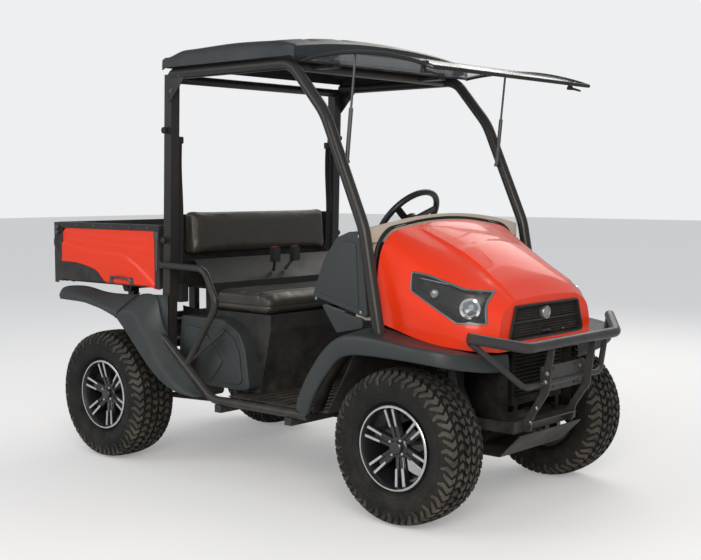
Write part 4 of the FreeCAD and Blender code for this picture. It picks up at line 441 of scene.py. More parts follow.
def tyre_form(width):
    """Casing and lugs of one tyre about +X, in its own place at the origin."""
    profile = tyre_profile(width)
    half = width / 2
    inner = [(0.068, bead_radius), (0.070, 0.184), (half - 0.024, 0.200), (half - 0.013, 0.236),
             (half - 0.021, 0.272), (half - 0.045, tyre_radius - 0.027), (0.0, tyre_radius - 0.025)]
    closed = profile + inner + [(-across, radius) for across, radius in inner[-2::-1]] + profile[:1]
    form = revolve([(radius, across) for across, radius in closed], casing_steps)
    scale = half / drawn_half

    def place(distance, angle, height):
        (across, radius), normal = on_profile(profile, distance)
        radius, across = radius + normal[1] * height, across + normal[0] * height
        return Vector((radius * math.cos(angle), radius * math.sin(angle), across))

    for number in range(pitches):
        for side in (-1, 1):
            for outline, tall in half_lugs:
                top, foot = [], []
                mid_d = sum(distance for distance, _ in outline) / len(outline)
                mid_s = sum(share for _, share in outline) / len(outline)
                shift = 0.5 if side > 0 else 0.0
                for distance, share in outline:
                    zigzag = zigzag_reach * abs((distance / zigzag_step + 0.5) % 2 - 1)
                    for taper, height, ring in ((foot_taper, -foot_sink, foot), (top_taper, groove * tall, top)):
                        along = (mid_d + (distance - mid_d) * taper) * scale
                        around = number + shift + zigzag + mid_s + (share - mid_s) * taper
                        # Lugs get lower towards their end on the sidewall.
                        drop = min(1.0, max(0.35, 1.25 - along / (tread_half * scale)))
                        ring.append(form.verts.new(place(side * along, math.tau * around / pitches,
                                                         height * (drop if height > 0 else 1))))
                # The lug's top face takes the paler second finish: wear and a painted highlight.
                form.faces.new(top).material_index = 1
                form.faces.new(foot[::-1])
                strips(form, [foot, top], around=True)
    # Plain rings stand proud of each sidewall: radius, distance in from the tyre's widest place.
    for side in (-1, 1):
        for ring_radius, sunk in ((0.200, 0.0085), (0.243, 0.0018)):
            path = [Vector((ring_radius * math.cos(turned), ring_radius * math.sin(turned), side * (half - sunk)))
                    for turned in (math.tau * step / 72 for step in range(73))]
            sweep(form, path, 0.0016, 5)
    bmesh.ops.rotate(form, cent=(0, 0, 0), matrix=Matrix.Rotation(math.radians(90), 3, "Y"), verts=form.verts)
    return form


# Wheels: name of the corner, axle's place, side that looks outwards, tyre width.
half_track, front_width, rear_width = 0.55, 0.226, 0.238
corners = (
    ("front_left", Vector((half_track, front_axle_y, tyre_radius)), 1, front_width),
    ("front_right", Vector((-half_track, front_axle_y, tyre_radius)), -1, front_width),
    ("rear_left", Vector((half_track, rear_axle_y, tyre_radius)), 1, rear_width),
    ("rear_right", Vector((-half_track, rear_axle_y, tyre_radius)), -1, rear_width),
)
for corner, axle, side, width in corners:
    tread = tyre_form(width)
    bmesh.ops.scale(tread, vec=(side, side, 1), verts=tread.verts)
    bmesh.ops.translate(tread, vec=axle, verts=tread.verts)
    piece("treaded_tyre_" + corner, tread, "wheel_" + corner, rubber, worn_rubber_with_painted_highlight, crease=28,
          replaces=("tyre_" + corner,), slot="tyre")

# Rims: 14 inch cast aluminium, painted gloss black, with the outer ring and the outer halves of six double spokes
# machined bright, a black cap over the hub and four bright nuts round it. Clear coat over all of it.
rim_black = polished("rim_gloss_black", 0.22, 0.34, 9.0, Base_Color=(0.012, 0.012, 0.013, 1), Coat_Weight=0.6,
                     Coat_Roughness=0.08)
machined, machined_tree, machined_shader = material("machined_aluminium", Metallic=1.0, Coat_Weight=0.5,
                                                    Coat_Roughness=0.1)
turning_spot = add_node(machined_tree, "ShaderNodeTexCoord")
turning = add_node(machined_tree, "ShaderNodeTexNoise", Scale=60.0, Detail=4.0)
turning_tone = add_node(machined_tree, "ShaderNodeMapRange", To_Min=0.22, To_Max=0.38)
turning_shade = add_node(machined_tree, "ShaderNodeMix", data_type="RGBA")
turning_shade.inputs[6].default_value = (0.55, 0.56, 0.57, 1)
turning_shade.inputs[7].default_value = (0.72, 0.73, 0.74, 1)
connect(machined_tree, (turning_spot, "Object", turning, "Vector"), (turning, "Fac", turning_tone, "Value"),
        (turning, "Fac", turning_shade, "Factor"), (turning_tone, "Result", machined_shader, "Roughness"),
        (turning_shade, 2, machined_shader, "Base Color"))

# Section of the rim as (radius, distance outwards): barrel, lip with its machined face, and inner wall.
rim_section = ((0.1480, -0.0955), (0.1715, -0.0955), (0.1715, -0.088), (0.158, -0.081), (0.152, -0.030),
               (0.158, 0.060), (0.158, 0.081), (0.1715, 0.088), (0.1715, 0.0955), (0.1685, 0.0975), (0.1625, 0.0975),
               (0.1600, 0.092), (0.1520, 0.078), (0.1455, 0.030), (0.1450, -0.060), (0.1480, -0.0955))
lip_height, lip_radius = 0.0965, 0.154
hub_cap = ((0, 0.030), (0.046, 0.030), (0.046, 0.058), (0.041, 0.063), (0.029, 0.064), (0.028, 0.077), (0.024, 0.081),
           (0, 0.083))
hub_back = ((0, 0.044), (0.046, 0.044), (0.046, -0.064), (0.020, -0.066), (0, -0.066))
# Spoke lengths: near end and far end as (radius, height), half widths and offsets at both ends, depth, edge, finish.
spoke_inner = ((0.040, 0.058), (0.088, 0.066), (0.0072, 0.0120), (0.0072, 0.0150), 0.022, 0.0024, 0)
spoke_outer = ((0.084, 0.069), (0.156, 0.081), (0.0068, 0.0150), (0.0080, 0.0195), 0.026, 0.0024, 1)
spoke_web = ((0.030, 0.052), (0.120, 0.060), (0.020, 0), (0.024, 0), 0.016, 0.0015, 0)
spokes, nuts, nut_circle, nut_foot_height, nut_radius = 6, 4, 0.0375, 0.060, 0.0065
rim_turn = math.radians(11)


def spoke(form, shape, hand):
    """Add a spoke to a bmesh, offset to one hand; its front face gets its finish."""
    near, far, near_half, far_half, depth, edge, shine = shape
    ring = []
    for (radius, height), (half, offset) in ((near, near_half), (far, far_half)):
        for side in (-1, 1):
            middle = hand * offset
            ring.append((form.verts.new((radius, side * half + middle, height)),
                         form.verts.new((radius, side * (half - edge) + middle, height + edge)),
                         form.verts.new((radius, side * half + middle, height - depth))))
    (nl, nlt, nlb), (nr, nrt, nrb), (fl, flt, flb), (fr, frt, frb) = ring
    form.faces.new((nlt, nrt, frt, flt)).material_index = shine
    for around in ((nl, nlt, flt, fl), (nrt, nr, fr, frt), (nlb, nl, fl, flb), (nr, nrb, frb, fr),
                   (nrb, nlb, flb, frb), (nlb, nrb, nr, nrt, nlt, nl), (fl, flt, frt, fr, frb, flb)):
        form.faces.new(around)
    return [vert for part in ring for vert in part]


for corner, axle, side, width in corners:
    rim = revolve(rim_section, casing_steps)
    for rim_face in rim.faces:
        centre = rim_face.calc_center_median()
        if centre.z > lip_height and math.hypot(centre.x, centre.y) > lip_radius:
            rim_face.material_index = 1
    for number in range(spokes):
        added = []
        for hand in (-1, 1):
            added += spoke(rim, spoke_inner, hand) + spoke(rim, spoke_outer, hand)
        added += spoke(rim, spoke_web, 0)
        bmesh.ops.rotate(rim, cent=(0, 0, 0), matrix=Matrix.Rotation(math.tau * number / spokes, 3, "Z"), verts=added)
    merge(rim, revolve(hub_cap, 48))
    merge(rim, revolve(hub_back, 48))
    for number in range(nuts):
        angle = math.tau * (number + 0.5) / nuts
        foot = Vector((nut_circle * math.cos(angle), nut_circle * math.sin(angle), nut_foot_height))
        nut = bmesh.new()
        sweep(nut, [foot, foot + Vector((0, 0, 0.013)), foot + Vector((0, 0, 0.015))],
              [nut_radius, nut_radius, nut_radius - 0.002], 6)
        merge(rim, nut, 1)
    valve = Vector((0.139, 0.012, 0.052))
    sweep(rim, [valve, valve + Vector((-0.004, 0, 0.026))], 0.0035, 10)
    for turn, axis in ((math.radians(90), "Y"), (rim_turn, "X"), (math.pi if side < 0 else 0, "Z")):
        bmesh.ops.rotate(rim, cent=(0, 0, 0), matrix=Matrix.Rotation(turn, 3, axis), verts=rim.verts)
    bmesh.ops.translate(rim, vec=axle, verts=rim.verts)
    piece("cast_rim_" + corner, rim, "wheel_" + corner, rim_black, machined, crease=30, replaces=("rim_" + corner,),
          slot="rim_silver")

# Hood: one orange-red moulded panel, sprayed in a gloss colour. A front plane stands a little proud between two
# long creases; below them are deep lamp openings, and the nose turns down round the grille opening.
paint_orange = coated("gloss_orange_paint", (0.78, 0.034, 0.004), 0.3, 0.42, 0.05, 190, 2.2, 0.08, 1.3,
                      dust_colour=(0.42, 0.16, 0.07), Specular_IOR_Level=0.25, Coat_Weight=0.35, Coat_Roughness=0.06)

# Stations along the hood: y, then half-width and height of bottom edge, side, bulge, shoulder, crease and crown.
hood_rear, hood_nose = -0.742, -1.231
hood_stations = (
    (hood_rear, ((0.515, 0.795), (0.513, 0.985), (0.484, 1.100), (0.415, 1.160), (0.278, 1.184), (0, 1.203))),
    (-0.980, ((0.488, 0.728), (0.482, 0.868), (0.441, 0.975), (0.345, 1.030), (0.243, 1.064), (0, 1.098))),
    (-1.150, ((0.432, 0.702), (0.428, 0.800), (0.390, 0.896), (0.300, 0.945), (0.250, 0.956), (0, 0.980))),
    (hood_nose, ((0.345, 0.694), (0.350, 0.770), (0.324, 0.845), (0.262, 0.884), (0.247, 0.887), (0, 0.898))),
)


def curve_through(knots, values, place):
    """Value of a smooth curve through values at rising knots."""
    index = next((n for n, knot in enumerate(knots[1:]) if place <= knot), len(knots) - 2)

    def slope(at):
        low, high = max(at - 1, 0), min(at + 1, len(knots) - 1)
        return (values[high] - values[low]) / (knots[high] - knots[low])

    gap = knots[index + 1] - knots[index]
    t = (place - knots[index]) / gap
    return (values[index] * (2 * t ** 3 - 3 * t ** 2 + 1) + slope(index) * gap * (t ** 3 - 2 * t ** 2 + t)
            + values[index + 1] * (3 * t ** 2 - 2 * t ** 3) + slope(index + 1) * gap * (t ** 3 - t ** 2))


def station_at(stations, y):
    """Control points of the section at y, between the stations given."""
    ordered = sorted(stations)
    knots = [row[0] for row in ordered]
    return [tuple(curve_through(knots, [row[1][point][axis] for row in ordered], y) for axis in (0, 1))
            for point in range(len(ordered[0][1]))]


def ease(low, high, value):
    """0 below low, 1 above high, smooth between."""
    t = min(1.0, max(0.0, (value - low) / (high - low)))
    return t * t * (3 - 2 * t)


side_points = 23


def hood_profile(y):
    """Half of the hood's section at y from its bottom edge to the crown, as many (half width, height) points."""
    points = station_at(hood_stations, y)
    side, crown = points[:5], points[4:]
    knots = [0.0]
    for near, far in zip(side, side[1:]):
        knots.append(knots[-1] + math.hypot(far[0] - near[0], far[1] - near[1]))
    profile = []
    for step in range(side_points):
        place = knots[-1] * step / (side_points - 1)
        profile.append((curve_through(knots, [point[0] for point in side], place),
                        curve_through(knots, [point[1] for point in side], place)))
    raised = 0.0035 * ease(-0.750, -0.790, y) + 0.0050 * ease(-0.930, -0.972, y)
    raised *= 1 - 0.4 * ease(-1.0, hood_nose, y)
    for across in (0.985, 0.96, 0.93, 0.8, 0.62, 0.42, 0.22, 0.0):
        x = crown[0][0] * across
        z = crown[1][1] + (crown[0][1] - crown[1][1]) * across ** 2
        profile.append((x, z + raised * ease(1.0, 0.96, across)))
    return profile


def hood_half_width(y, z):
    """Half width of the hood's side at y and height z."""
    side = hood_profile(y)[:side_points]
    for near, far in zip(side, side[1:]):
        if near[1] <= z <= far[1]:
            return near[0] + (far[0] - near[0]) * (z - near[1]) / (far[1] - near[1])
    return side[0][0] if z < side[0][1] else side[-1][0]


def rounded(outline, steps):
    """Points of an outline of (a, b, radius) corners, with each corner rounded in a few steps."""
    ring = []
    for index, (a, b, radius) in enumerate(outline):
        here = Vector((a, b))
        before = Vector(outline[index - 1][:2]) - here
        after = Vector(outline[(index + 1) % len(outline)][:2]) - here
        half = before.angle(after) / 2
        run = min(radius / math.tan(half), before.length * 0.45, after.length * 0.45) if radius else 0
        start, end = here + before.normalized() * run, here + after.normalized() * run
        for step in range(steps + 1 if radius else 1):
            t = step / steps
            ring.append(start * (1 - t) ** 2 + here * 2 * t * (1 - t) + end * t ** 2)
    return ring


def outline_solid(outline, axis, low, high):
    """A prism of a rounded outline of (a, b, radius) corners, between two places along an axis of the vehicle."""
    ring = rounded(outline, 5)
    form = bmesh.new()
    ends = []
    for place in (low, high):
        ends.append([form.verts.new({"x": (place, point.x, point.y), "y": (point.x, place, point.y),
                                     "z": (point.x, point.y, place)}[axis]) for point in ring])
    form.faces.new(ends[0])
    form.faces.new(ends[1][::-1])
    for index in range(len(ring)):
        following = (index + 1) % len(ring)
        form.faces.new((ends[0][following], ends[0][index], ends[1][index], ends[1][following]))
    bmesh.ops.recalc_face_normals(form, faces=form.faces)
    return form


def apply_modifiers(thing):
    """Bake an object's modifiers into its mesh."""
    baked = bpy.data.meshes.new_from_object(thing.evaluated_get(bpy.context.evaluated_depsgraph_get()))
    thing.modifiers.clear()
    old = thing.data
    thing.data = baked
    bpy.data.meshes.remove(old)


def walled(thing, thickness, offset):
    """Give a sheet its wall: behind its faces with an offset of -1, to both sides with 0."""
    wall = thing.modifiers.new("wall", "SOLIDIFY")
    wall.thickness, wall.offset = thickness, offset
    apply_modifiers(thing)


def cut_out(thing, *cutters):
    """Take solid bmeshes away from an object."""
    for cutter in cutters:
        mesh = bpy.data.meshes.new("cutter")
        cutter.to_mesh(mesh)
        cutter.free()
        tool = link_up("cutter", mesh)
        modifier = thing.modifiers.new("cut", "BOOLEAN")
        modifier.operation, modifier.solver, modifier.object = "DIFFERENCE", "EXACT", tool
        apply_modifiers(thing)
        bpy.data.objects.remove(tool)
        bpy.data.meshes.remove(mesh)


def smooth_by(thing, angle):
    """Smooth shading, broken where faces meet at more than an angle in degrees."""
    thing.data.shade_smooth()
    thing.data.set_sharp_from_angle(angle=math.radians(angle))


def walled_piece(name, form, body, finish, thickness, offset, crease, replaces=()):
    """A sheet that becomes an object with a wall, shaded by angle once the wall is there."""
    thing = piece(name, form, body, finish, replaces=replaces)
    walled(thing, thickness, offset)
    smooth_by(thing, crease)


# Openings, as corners with a radius: the headlights' in (y, z), the grille's in (x, z).
lamp_outline = ((-0.883, 1.011, 0.014), (-0.895, 0.930, 0.012), (-1.097, 0.806, 0.020), (-1.200, 0.804, 0.014),
                (-1.173, 0.934, 0.012), (-1.094, 0.944, 0.030), (-0.951, 0.998, 0.040))
grille_top, grille_foot, grille_top_half, grille_flare = 0.868, 0.733, 0.240, 0.045
grille_foot_half = grille_top_half + grille_flare
grille_outline = ((-grille_top_half, grille_top, 0.018), (grille_top_half, grille_top, 0.018),
                  (grille_foot_half, grille_foot, 0.018), (-grille_foot_half, grille_foot, 0.018))


def hood_skin():
    """Sheet of the hood from its rear edge round the nose to its front lower edge."""
    form = bmesh.new()
    rows = []
    places = [hood_rear + (hood_nose - hood_rear) * step / 30 for step in range(31)]
    # More sections where the front plane starts to rise.
    places = sorted(set(places + [-0.925, -0.935, -0.945, -0.955, -0.965, -0.972]), reverse=True)
    for y in places:
        half = hood_profile(y)
        rows.append([form.verts.new((x, y, z)) for x, z in half] +
                    [form.verts.new((-x, y, z)) for x, z in half[-2::-1]])
    strips(form, rows)
    # Nose: a flat face that closes the front in rings.
    centre = Vector((0, hood_nose, 0.80))
    last = rows[-1]
    rings = [last]
    for shrink in (0.985, 0.93, 0.5):
        rings.append([form.verts.new(((vert.co.x - centre.x) * shrink, hood_nose,
                                      centre.z + (vert.co.z - centre.z) * shrink)) for vert in last])
    strips(form, rings, around=True)
    form.faces.new(rings[-1])
    return form


hood_panel = piece("hood_panel", hood_skin(), "hood", paint_orange, replaces=("hood",))
walled(hood_panel, 0.004, -1)
cut_out(hood_panel, outline_solid(lamp_outline, "x", 0.25, 0.70), outline_solid(lamp_outline, "x", -0.70, -0.25),
        outline_solid(grille_outline, "y", -1.27, -1.19))
smooth_by(hood_panel, 24)

# Headlights: behind a clear cover in each side of the hood lies a dark moulded tray with a bright round projector
# in front and a small lamp behind it, inside a grey bezel that follows the opening.
tray_plastic = coated("lamp_tray", (0.008, 0.009, 0.010), 0.18, 0.3, 0.04, 400, 9, 0.1, 1.2)
bezel_grey = coated("lamp_bezel", (0.15, 0.17, 0.18), 0.28, 0.4, 0.05, 400, 9, 0.2, 1.2, Metallic=0.35)
chrome = coated("lamp_chrome", (0.82, 0.83, 0.84), 0.05, 0.12, 0.01, 300, 12, 0.05, 1.2, Metallic=1.0)
lens_glass = polished("lamp_lens_glass", 0.02, 0.06, 20.0, Base_Color=(0.42, 0.46, 0.5, 1),
                      Transmission_Weight=0.85, IOR=1.45)
cover_clear = polished("lamp_cover_clear", 0.03, 0.09, 6.0, Base_Color=(0.5, 0.53, 0.55, 1), IOR=1.4, Alpha=0.03,
                       Specular_IOR_Level=0.35)


def round_outline(outline, shrink):
    """Points of a rounded outline, close together and drawn in towards its middle by a distance."""
    ring = rounded(outline, 6)
    spread = []
    for near, far in zip(ring, ring[1:] + ring[:1]):
        parts = max(1, int((far - near).length / 0.02))
        spread += [near + (far - near) * part / parts for part in range(parts)]
    turning = sum(near.x * far.y - far.x * near.y for near, far in zip(spread, spread[1:] + spread[:1]))
    inner = []
    for index, point in enumerate(spread):
        along = spread[(index + 1) % len(spread)] - spread[index - 1]
        side = Vector((-along.y, along.x)).normalized() * (1 if turning > 0 else -1)
        inner.append(point + side * shrink)
    return inner


# Rings of the tray as (distance in from the opening's edge, depth under the hood's skin): the bezel's edge and face
# down to its inner lip, the tray's walls and floor, and the back of all of it.
tray_rings = ((0.001, 0.006), (0.001, -0.001), (0.0025, -0.0024), (0.0065, -0.0016), (0.0085, 0.004),
              (0.014, 0.030), (0.026, 0.050), (0.0245, 0.0525), (0.0125, 0.032), (0.0065, 0.007))
# Projector and small lamp: y, z, radius of the lens, radius of the ring. Both sit under the skin and look forwards.
lamp_places = ((-1.128, 0.866, 0.029, 0.042), (-0.985, 0.922, 0.012, 0.018))
lamp_sink, lamp_aim = 0.018, (-0.62, 0.10)
bar_steps, bar_sink, bar_radius = 12, 0.022, 0.0022
cover_inset, cover_lift, cover_wall = 0.0075, 0.0005, 0.0012
for side, label in ((-1, "right"), (1, "left")):
    tray = bmesh.new()
    rings = [[tray.verts.new((side * (hood_half_width(point.x, point.y) - depth), point.x, point.y))
              for point in round_outline(lamp_outline, shrink)] for shrink, depth in tray_rings]
    strips(tray, rings[:4], around=True, finish_index=1)
    strips(tray, rings[3:7], around=True)
    strips(tray, rings[7:] + rings[:1], around=True)
    bmesh.ops.triangulate(tray, faces=[tray.faces.new(rings[6]), tray.faces.new(rings[7][::-1])])
    piece("lamp_tray_" + label, tray, "hood", tray_plastic, bezel_grey, crease=40, replaces=("headlights",),
          slot="trim_black")
    lamps, lenses = bmesh.new(), bmesh.new()
    for y, z, lens, ring in lamp_places:
        centre = Vector((side * (hood_half_width(y, z) - lamp_sink), y, z))
        turn = towards(centre, centre + Vector((side, *lamp_aim)).normalized())
        merge(lamps, revolve([(0, -0.03), (lens * 0.6, -0.028), (lens + 0.001, -0.012), (lens + 0.001, 0.004),
                              (lens + 0.004, 0.007), (ring, 0.004), (ring, -0.004), (ring - 0.003, -0.032),
                              (0, -0.032)], 40, turn))
        merge(lenses, revolve([(lens * math.sin(0.16 * step), 0.011 * math.cos(0.16 * step) - 0.004)
                               for step in range(10)] + [(lens, -0.006), (0, -0.010)], 40, turn))
    # A bright bar along the tray's upper wall, over the projector.
    bar_path = []
    for step in range(bar_steps + 1):
        y = -0.915 - 0.225 * step / bar_steps
        z = 0.980 - 0.055 * step / bar_steps + 0.004 * math.sin(math.pi * step / bar_steps)
        bar_path.append(Vector((side * (hood_half_width(y, z) - bar_sink), y, z)))
    sweep(lamps, bar_path, bar_radius)
    piece("projector_rings_" + label, lamps, "hood", chrome, slot="rim_silver")
    piece("projector_lenses_" + label, lenses, "hood", lens_glass, crease=50, slot="lamp_glass")
    # Clear cover, bowed with the hood and set just inside the bezel.
    cover = bmesh.new()
    ring = [cover.verts.new((0, point.x, point.y)) for point in round_outline(lamp_outline, cover_inset)]

    def bow_cover():
        for vert in cover.verts:
            vert.co.x = side * (hood_half_width(vert.co.y, vert.co.z) + cover_lift)

    bow_cover()
    bmesh.ops.triangulate(cover, faces=[cover.faces.new(ring)])
    bmesh.ops.subdivide_edges(cover, edges=[edge for edge in cover.edges if edge.calc_length() > 0.03], cuts=3,
                              use_grid_fill=True)
    bow_cover()
    bmesh.ops.triangulate(cover, faces=cover.faces[:])
    walled_piece("lamp_cover_" + label, cover, "hood", cover_clear, cover_wall, 0, 60)

# Grille: a dark frame whose lip laps the opening, and in it a black moulded mesh of upright ribs and wavy bars.
# A plain round boss of satin metal sits on the mesh, high in its middle.
grille_black = coated("grille_plastic", (0.022, 0.021, 0.020), 0.3, 0.45, 0.2, 500, 9, 0.3, 1.0)
frame_black = coated("grille_frame", (0.014, 0.015, 0.016), 0.25, 0.4, 0.15, 500, 9, 0.25, 1.0)
# Rings of the frame as (distance in from the opening's edge, y): lip outside, then the throat and back again.
frame_rings = ((-0.005, -1.2325), (-0.005, -1.2365), (-0.002, -1.2390), (0.004, -1.2375), (0.007, -1.226),
               (0.009, -1.206), (0.001, -1.206), (0.001, -1.2318))
bar_low, bar_high, bars, waves, wave_depth, wave_height = 0.745, 0.857, 11, 56, 0.0035, 0.0012
ribs_to_a_side = 23
grille = bmesh.new()
rings = [[grille.verts.new((point.x, y, point.y)) for point in round_outline(grille_outline, shrink)]
         for shrink, y in frame_rings]
strips(grille, rings + rings[:1], around=True, finish_index=1)


def grille_half(z):
    """Half width of the grille's opening at a height."""
    return grille_top_half + (grille_top - z) / (grille_top - grille_foot) * grille_flare


for bar in range(bars):
    z = bar_low + (bar_high - bar_low) * bar / (bars - 1)
    half = grille_half(z) - 0.010
    path = []
    for step in range(waves + 1):
        wave = math.cos(math.pi * (step + bar))
        path.append(Vector((-half + 2 * half * step / waves, -1.217 - wave_depth * wave, z + wave_height * wave)))
    sweep(grille, path, 0.0021, 6)
for rib in range(-ribs_to_a_side, ribs_to_a_side + 1):
    path = [Vector((rib / (ribs_to_a_side + 1) * grille_half(z), -1.213, z)) for z in
            (0.738, 0.770, 0.800, 0.832, 0.864)]
    sweep(grille, path, 0.0024, 6)
sweep(grille, [Vector((x, -1.2215, 0.801 + 0.0001 * x)) for x in (-0.254, -0.1, 0.1, 0.254)], 0.0045)
# Pull handle of the hood's latch, a dark loop at the foot of the mesh.
sweep(grille, [Vector((-0.030, -1.214, 0.744)), Vector((-0.028, -1.228, 0.752)), Vector((0, -1.232, 0.755)),
               Vector((0.028, -1.228, 0.752)), Vector((0.030, -1.214, 0.744))], 0.0055)
boss_satin = coated("boss_satin", (0.42, 0.42, 0.42), 0.25, 0.38, 0.05, 400, 12, 0.1, 1.0, Metallic=0.85)
boss_place = Vector((0, -1.221, 0.828))
boss = revolve([(0, 0.009), (0.021, 0.009), (0.022, 0.012), (0.027, 0.012), (0.030, 0.006), (0.030, -0.012),
                (0, -0.012)], 40, towards(boss_place, boss_place - Vector((0, 1, 0))))
piece("grille_boss", boss, "hood", boss_satin, crease=30, slot="rim_silver")
piece("mesh_grille", grille, "hood", grille_black, frame_black, replaces=("grille",), slot="trim_black")

# Front guard: bent black tubes joined by two upright plates, with a bare winch plate between them. Domed plugs
# close the tube ends, and flanged bolts hold it to the frame.
guard_black = coated("guard_powder_coat", (0.03, 0.031, 0.033), 0.26, 0.4, 0.15, 420, 5, 0.25, 1.0)
finish_nodes(guard_black, "front_guard")


def bolts(form, places, radius, height):
    """Flanged hex bolt heads set on surfaces, each (place, direction out of the surface)."""
    for place, out in places:
        merge(form, revolve([(0, 0), (radius * 1.45, 0), (radius * 1.45, height * 0.2), (radius, height * 0.35),
                             (radius, height * 0.9), (radius * 0.85, height), (0, height)], 6,
                            towards(place, place + out)))


def both_sides(x, places):
    """The same (y, z) places on both sides of the vehicle at a distance from its middle, facing outwards."""
    return [(Vector((side * x, y, z)), Vector((side, 0, 0))) for side in (-1, 1) for y, z in places]


bolt_zinc = coated("zinc_bolt", (0.30, 0.30, 0.29), 0.28, 0.45, 0.1, 500, 20, 0.3, 0.9, Metallic=0.9)
guard_plate_x, winch_face_y = 0.1682, -1.3162
guard_fittings = bmesh.new()
bolts(guard_fittings, both_sides(guard_plate_x, ((-1.290, 0.455), (-1.262, 0.392), (-1.331, 0.565), (-1.338, 0.600))),
      0.008, 0.007)
bolts(guard_fittings, [(Vector((x, winch_face_y, z)), Vector((0, -1, 0))) for x in (-0.13, 0.13)
                       for z in (0.545, 0.600)], 0.007, 0.006)
piece("guard_bolts", guard_fittings, "chassis", bolt_zinc, crease=30)

# Cowl: a moulded shroud behind the hood, smoother than the fenders, with a rolled black rubber seal along its front
# edge, and wings that close the gap between the hood and the pillars. Its pale cream colour, much lighter than the
# fenders, is mostly a painted reflection of bright sky on its upward-facing top.
cowl_tone_with_painted_reflection = coated("cowl_plastic_with_painted_reflection", (0.52, 0.47, 0.385), 0.32, 0.42, 0.06, 380, 4, 0.1, 1.6, Specular_IOR_Level=0.6)
seal_rubber = coated("edge_rubber", (0.012, 0.012, 0.012), 0.45, 0.6, 0.2, 300, 9, 0.15, 1.4)
finish_nodes(cowl_tone_with_painted_reflection, "cowl")


def moulded(name, rows, thickness, body, finish, crease=50, replaces=()):
    """A moulded panel: a smooth sheet through rows of points, given a thickness, and its mirror image."""
    form = bmesh.new()
    strips(form, [[form.verts.new(point) for point in row] for row in rows])
    bmesh.ops.remove_doubles(form, verts=form.verts, dist=1e-5)
    mirror_half(form)
    panel = piece(name, form, body, finish, replaces=replaces)
    walled(panel, thickness, -1)
    smooth = panel.modifiers.new("smooth", "SUBSURF")
    smooth.levels = smooth.render_levels = 2
    smooth.boundary_smooth = "PRESERVE_CORNERS"
    apply_modifiers(panel)
    smooth_by(panel, crease)


# Wings: rows from the cowl's front edge, as (y, spread), back to the pillar; each runs from the hood's bottom corner
# up to the cowl, through some of the hood profile's points.
wing_front, wing_depth, wing_limit = -0.728, 0.073, 0.556
rear_profile = hood_profile(hood_rear)
wing_rows = []
for y, spread in ((wing_front, 0.000), (-0.715, 0.002), (-0.690, 0.008), (-0.664, 0.012), (-0.655, 0.010)):
    row = []
    for x, z in (rear_profile[number] for number in (0, 5, 9, 12, 15, 18, 20, 22)):
        lean = ease(0.80, 1.20, z)
        row.append((min(x + 0.012 + spread * 2.2, wing_limit), y + 0.02 * lean * (y - wing_front) / wing_depth,
                    z + 0.010 * lean))
    wing_rows.append(row)
moulded("cowl_wings", wing_rows, 0.003, "chassis", cowl_tone_with_painted_reflection)

# The seal lies a little further back over the crown, clear of the hood's rear edge as it swings up.
seal_y, seal_back, seal_radius = -0.7265, 0.010, 0.0085
seal = bmesh.new()
seal_path = [Vector((x + 0.006 * (1 - ease(0.3, 0.0, x)), seal_y + seal_back * ease(0.46, 0.34, x),
                     z + 0.010 * ease(0.9, 1.15, z))) for x, z in rear_profile[2:]]
sweep(seal, seal_path + [Vector((-point.x, point.y, point.z)) for point in seal_path[-2::-1]], seal_radius, 12)
piece("hood_seal", seal, "chassis", seal_rubber, crease=60)

# Fenders, side panels and seat panels: thick, dark blue-grey moulded plastic with a fine leather-like grain, dull
# and a little dusty. Front fender: a shelf beside the hood, turned down in a deep lip round the wheel.
body_grey = coated("grained_plastic", (0.026, 0.032, 0.034), 0.42, 0.56, 0.35, 520, 5, 0.12, 0.8,
                   Specular_IOR_Level=0.4)

# Stations from the foot at the sill, over the wheel, round to the middle of the nose: inner edge, ridge and lower
# edge of the lip, each (x, y, z).
fender_side, fender_wall = 0.6885, 0.0045
front_stations = (
    ((0.664, -0.436, 0.420), (0.688, -0.432, 0.418), (0.688, -0.498, 0.395)),
    ((0.626, -0.452, 0.486), (fender_side, -0.447, 0.482), (fender_side, -0.516, 0.440)),
    ((0.612, -0.520, 0.600), (fender_side, -0.515, 0.596), (fender_side, -0.565, 0.532)),
    ((0.612, -0.600, 0.694), (fender_side, -0.593, 0.690), (fender_side, -0.625, 0.600)),
    ((0.612, -0.650, 0.736), (fender_side, -0.648, 0.732), (fender_side, -0.665, 0.648)),
    ((0.520, -0.722, 0.784), (fender_side, -0.705, 0.756), (fender_side, -0.715, 0.672)),
    ((0.494, -0.800, 0.771), (fender_side, -0.800, 0.764), (fender_side, -0.800, 0.680)),
    ((0.480, -0.928, 0.736), (fender_side, -0.928, 0.752), (fender_side, -0.928, 0.678)),
    ((0.450, -1.060, 0.711), (0.688, -1.050, 0.739), (0.688, -1.050, 0.674)),
    ((0.425, -1.130, 0.697), (0.672, -1.130, 0.731), (0.675, -1.132, 0.667)),
    ((0.402, -1.165, 0.690), (0.636, -1.184, 0.722), (0.641, -1.188, 0.657)),
    ((0.380, -1.185, 0.686), (0.580, -1.212, 0.708), (0.584, -1.218, 0.645)),
    ((0.365, -1.196, 0.684), (0.500, -1.222, 0.694), (0.503, -1.228, 0.632)),
    ((0.345, -1.198, 0.682), (0.420, -1.222, 0.687), (0.420, -1.229, 0.618)),
    ((0.260, -1.198, 0.681), (0.262, -1.222, 0.684), (0.262, -1.229, 0.606)),
)


def lip_rows(stations):
    """Rows of points over a fender's shelf, its ridge and its lip, with the lip's edge turned under."""
    rows = []
    for shelf, ridge, lip in (map(Vector, station) for station in stations):
        across, down = shelf - ridge, lip - ridge
        inwards = Vector((-1, 0, 0)) if abs(ridge.x) > 0.65 else Vector((-0.4, 1, 0)).normalized()
        rows.append([shelf, shelf - across * 0.3, ridge + across * 0.35, ridge + across.normalized() * 0.009,
                     ridge + down.normalized() * 0.008, ridge + down * 0.5 - inwards * 0.002,
                     lip - down.normalized() * 0.008, lip + inwards * 0.006, lip + inwards * 0.026])
    return rows


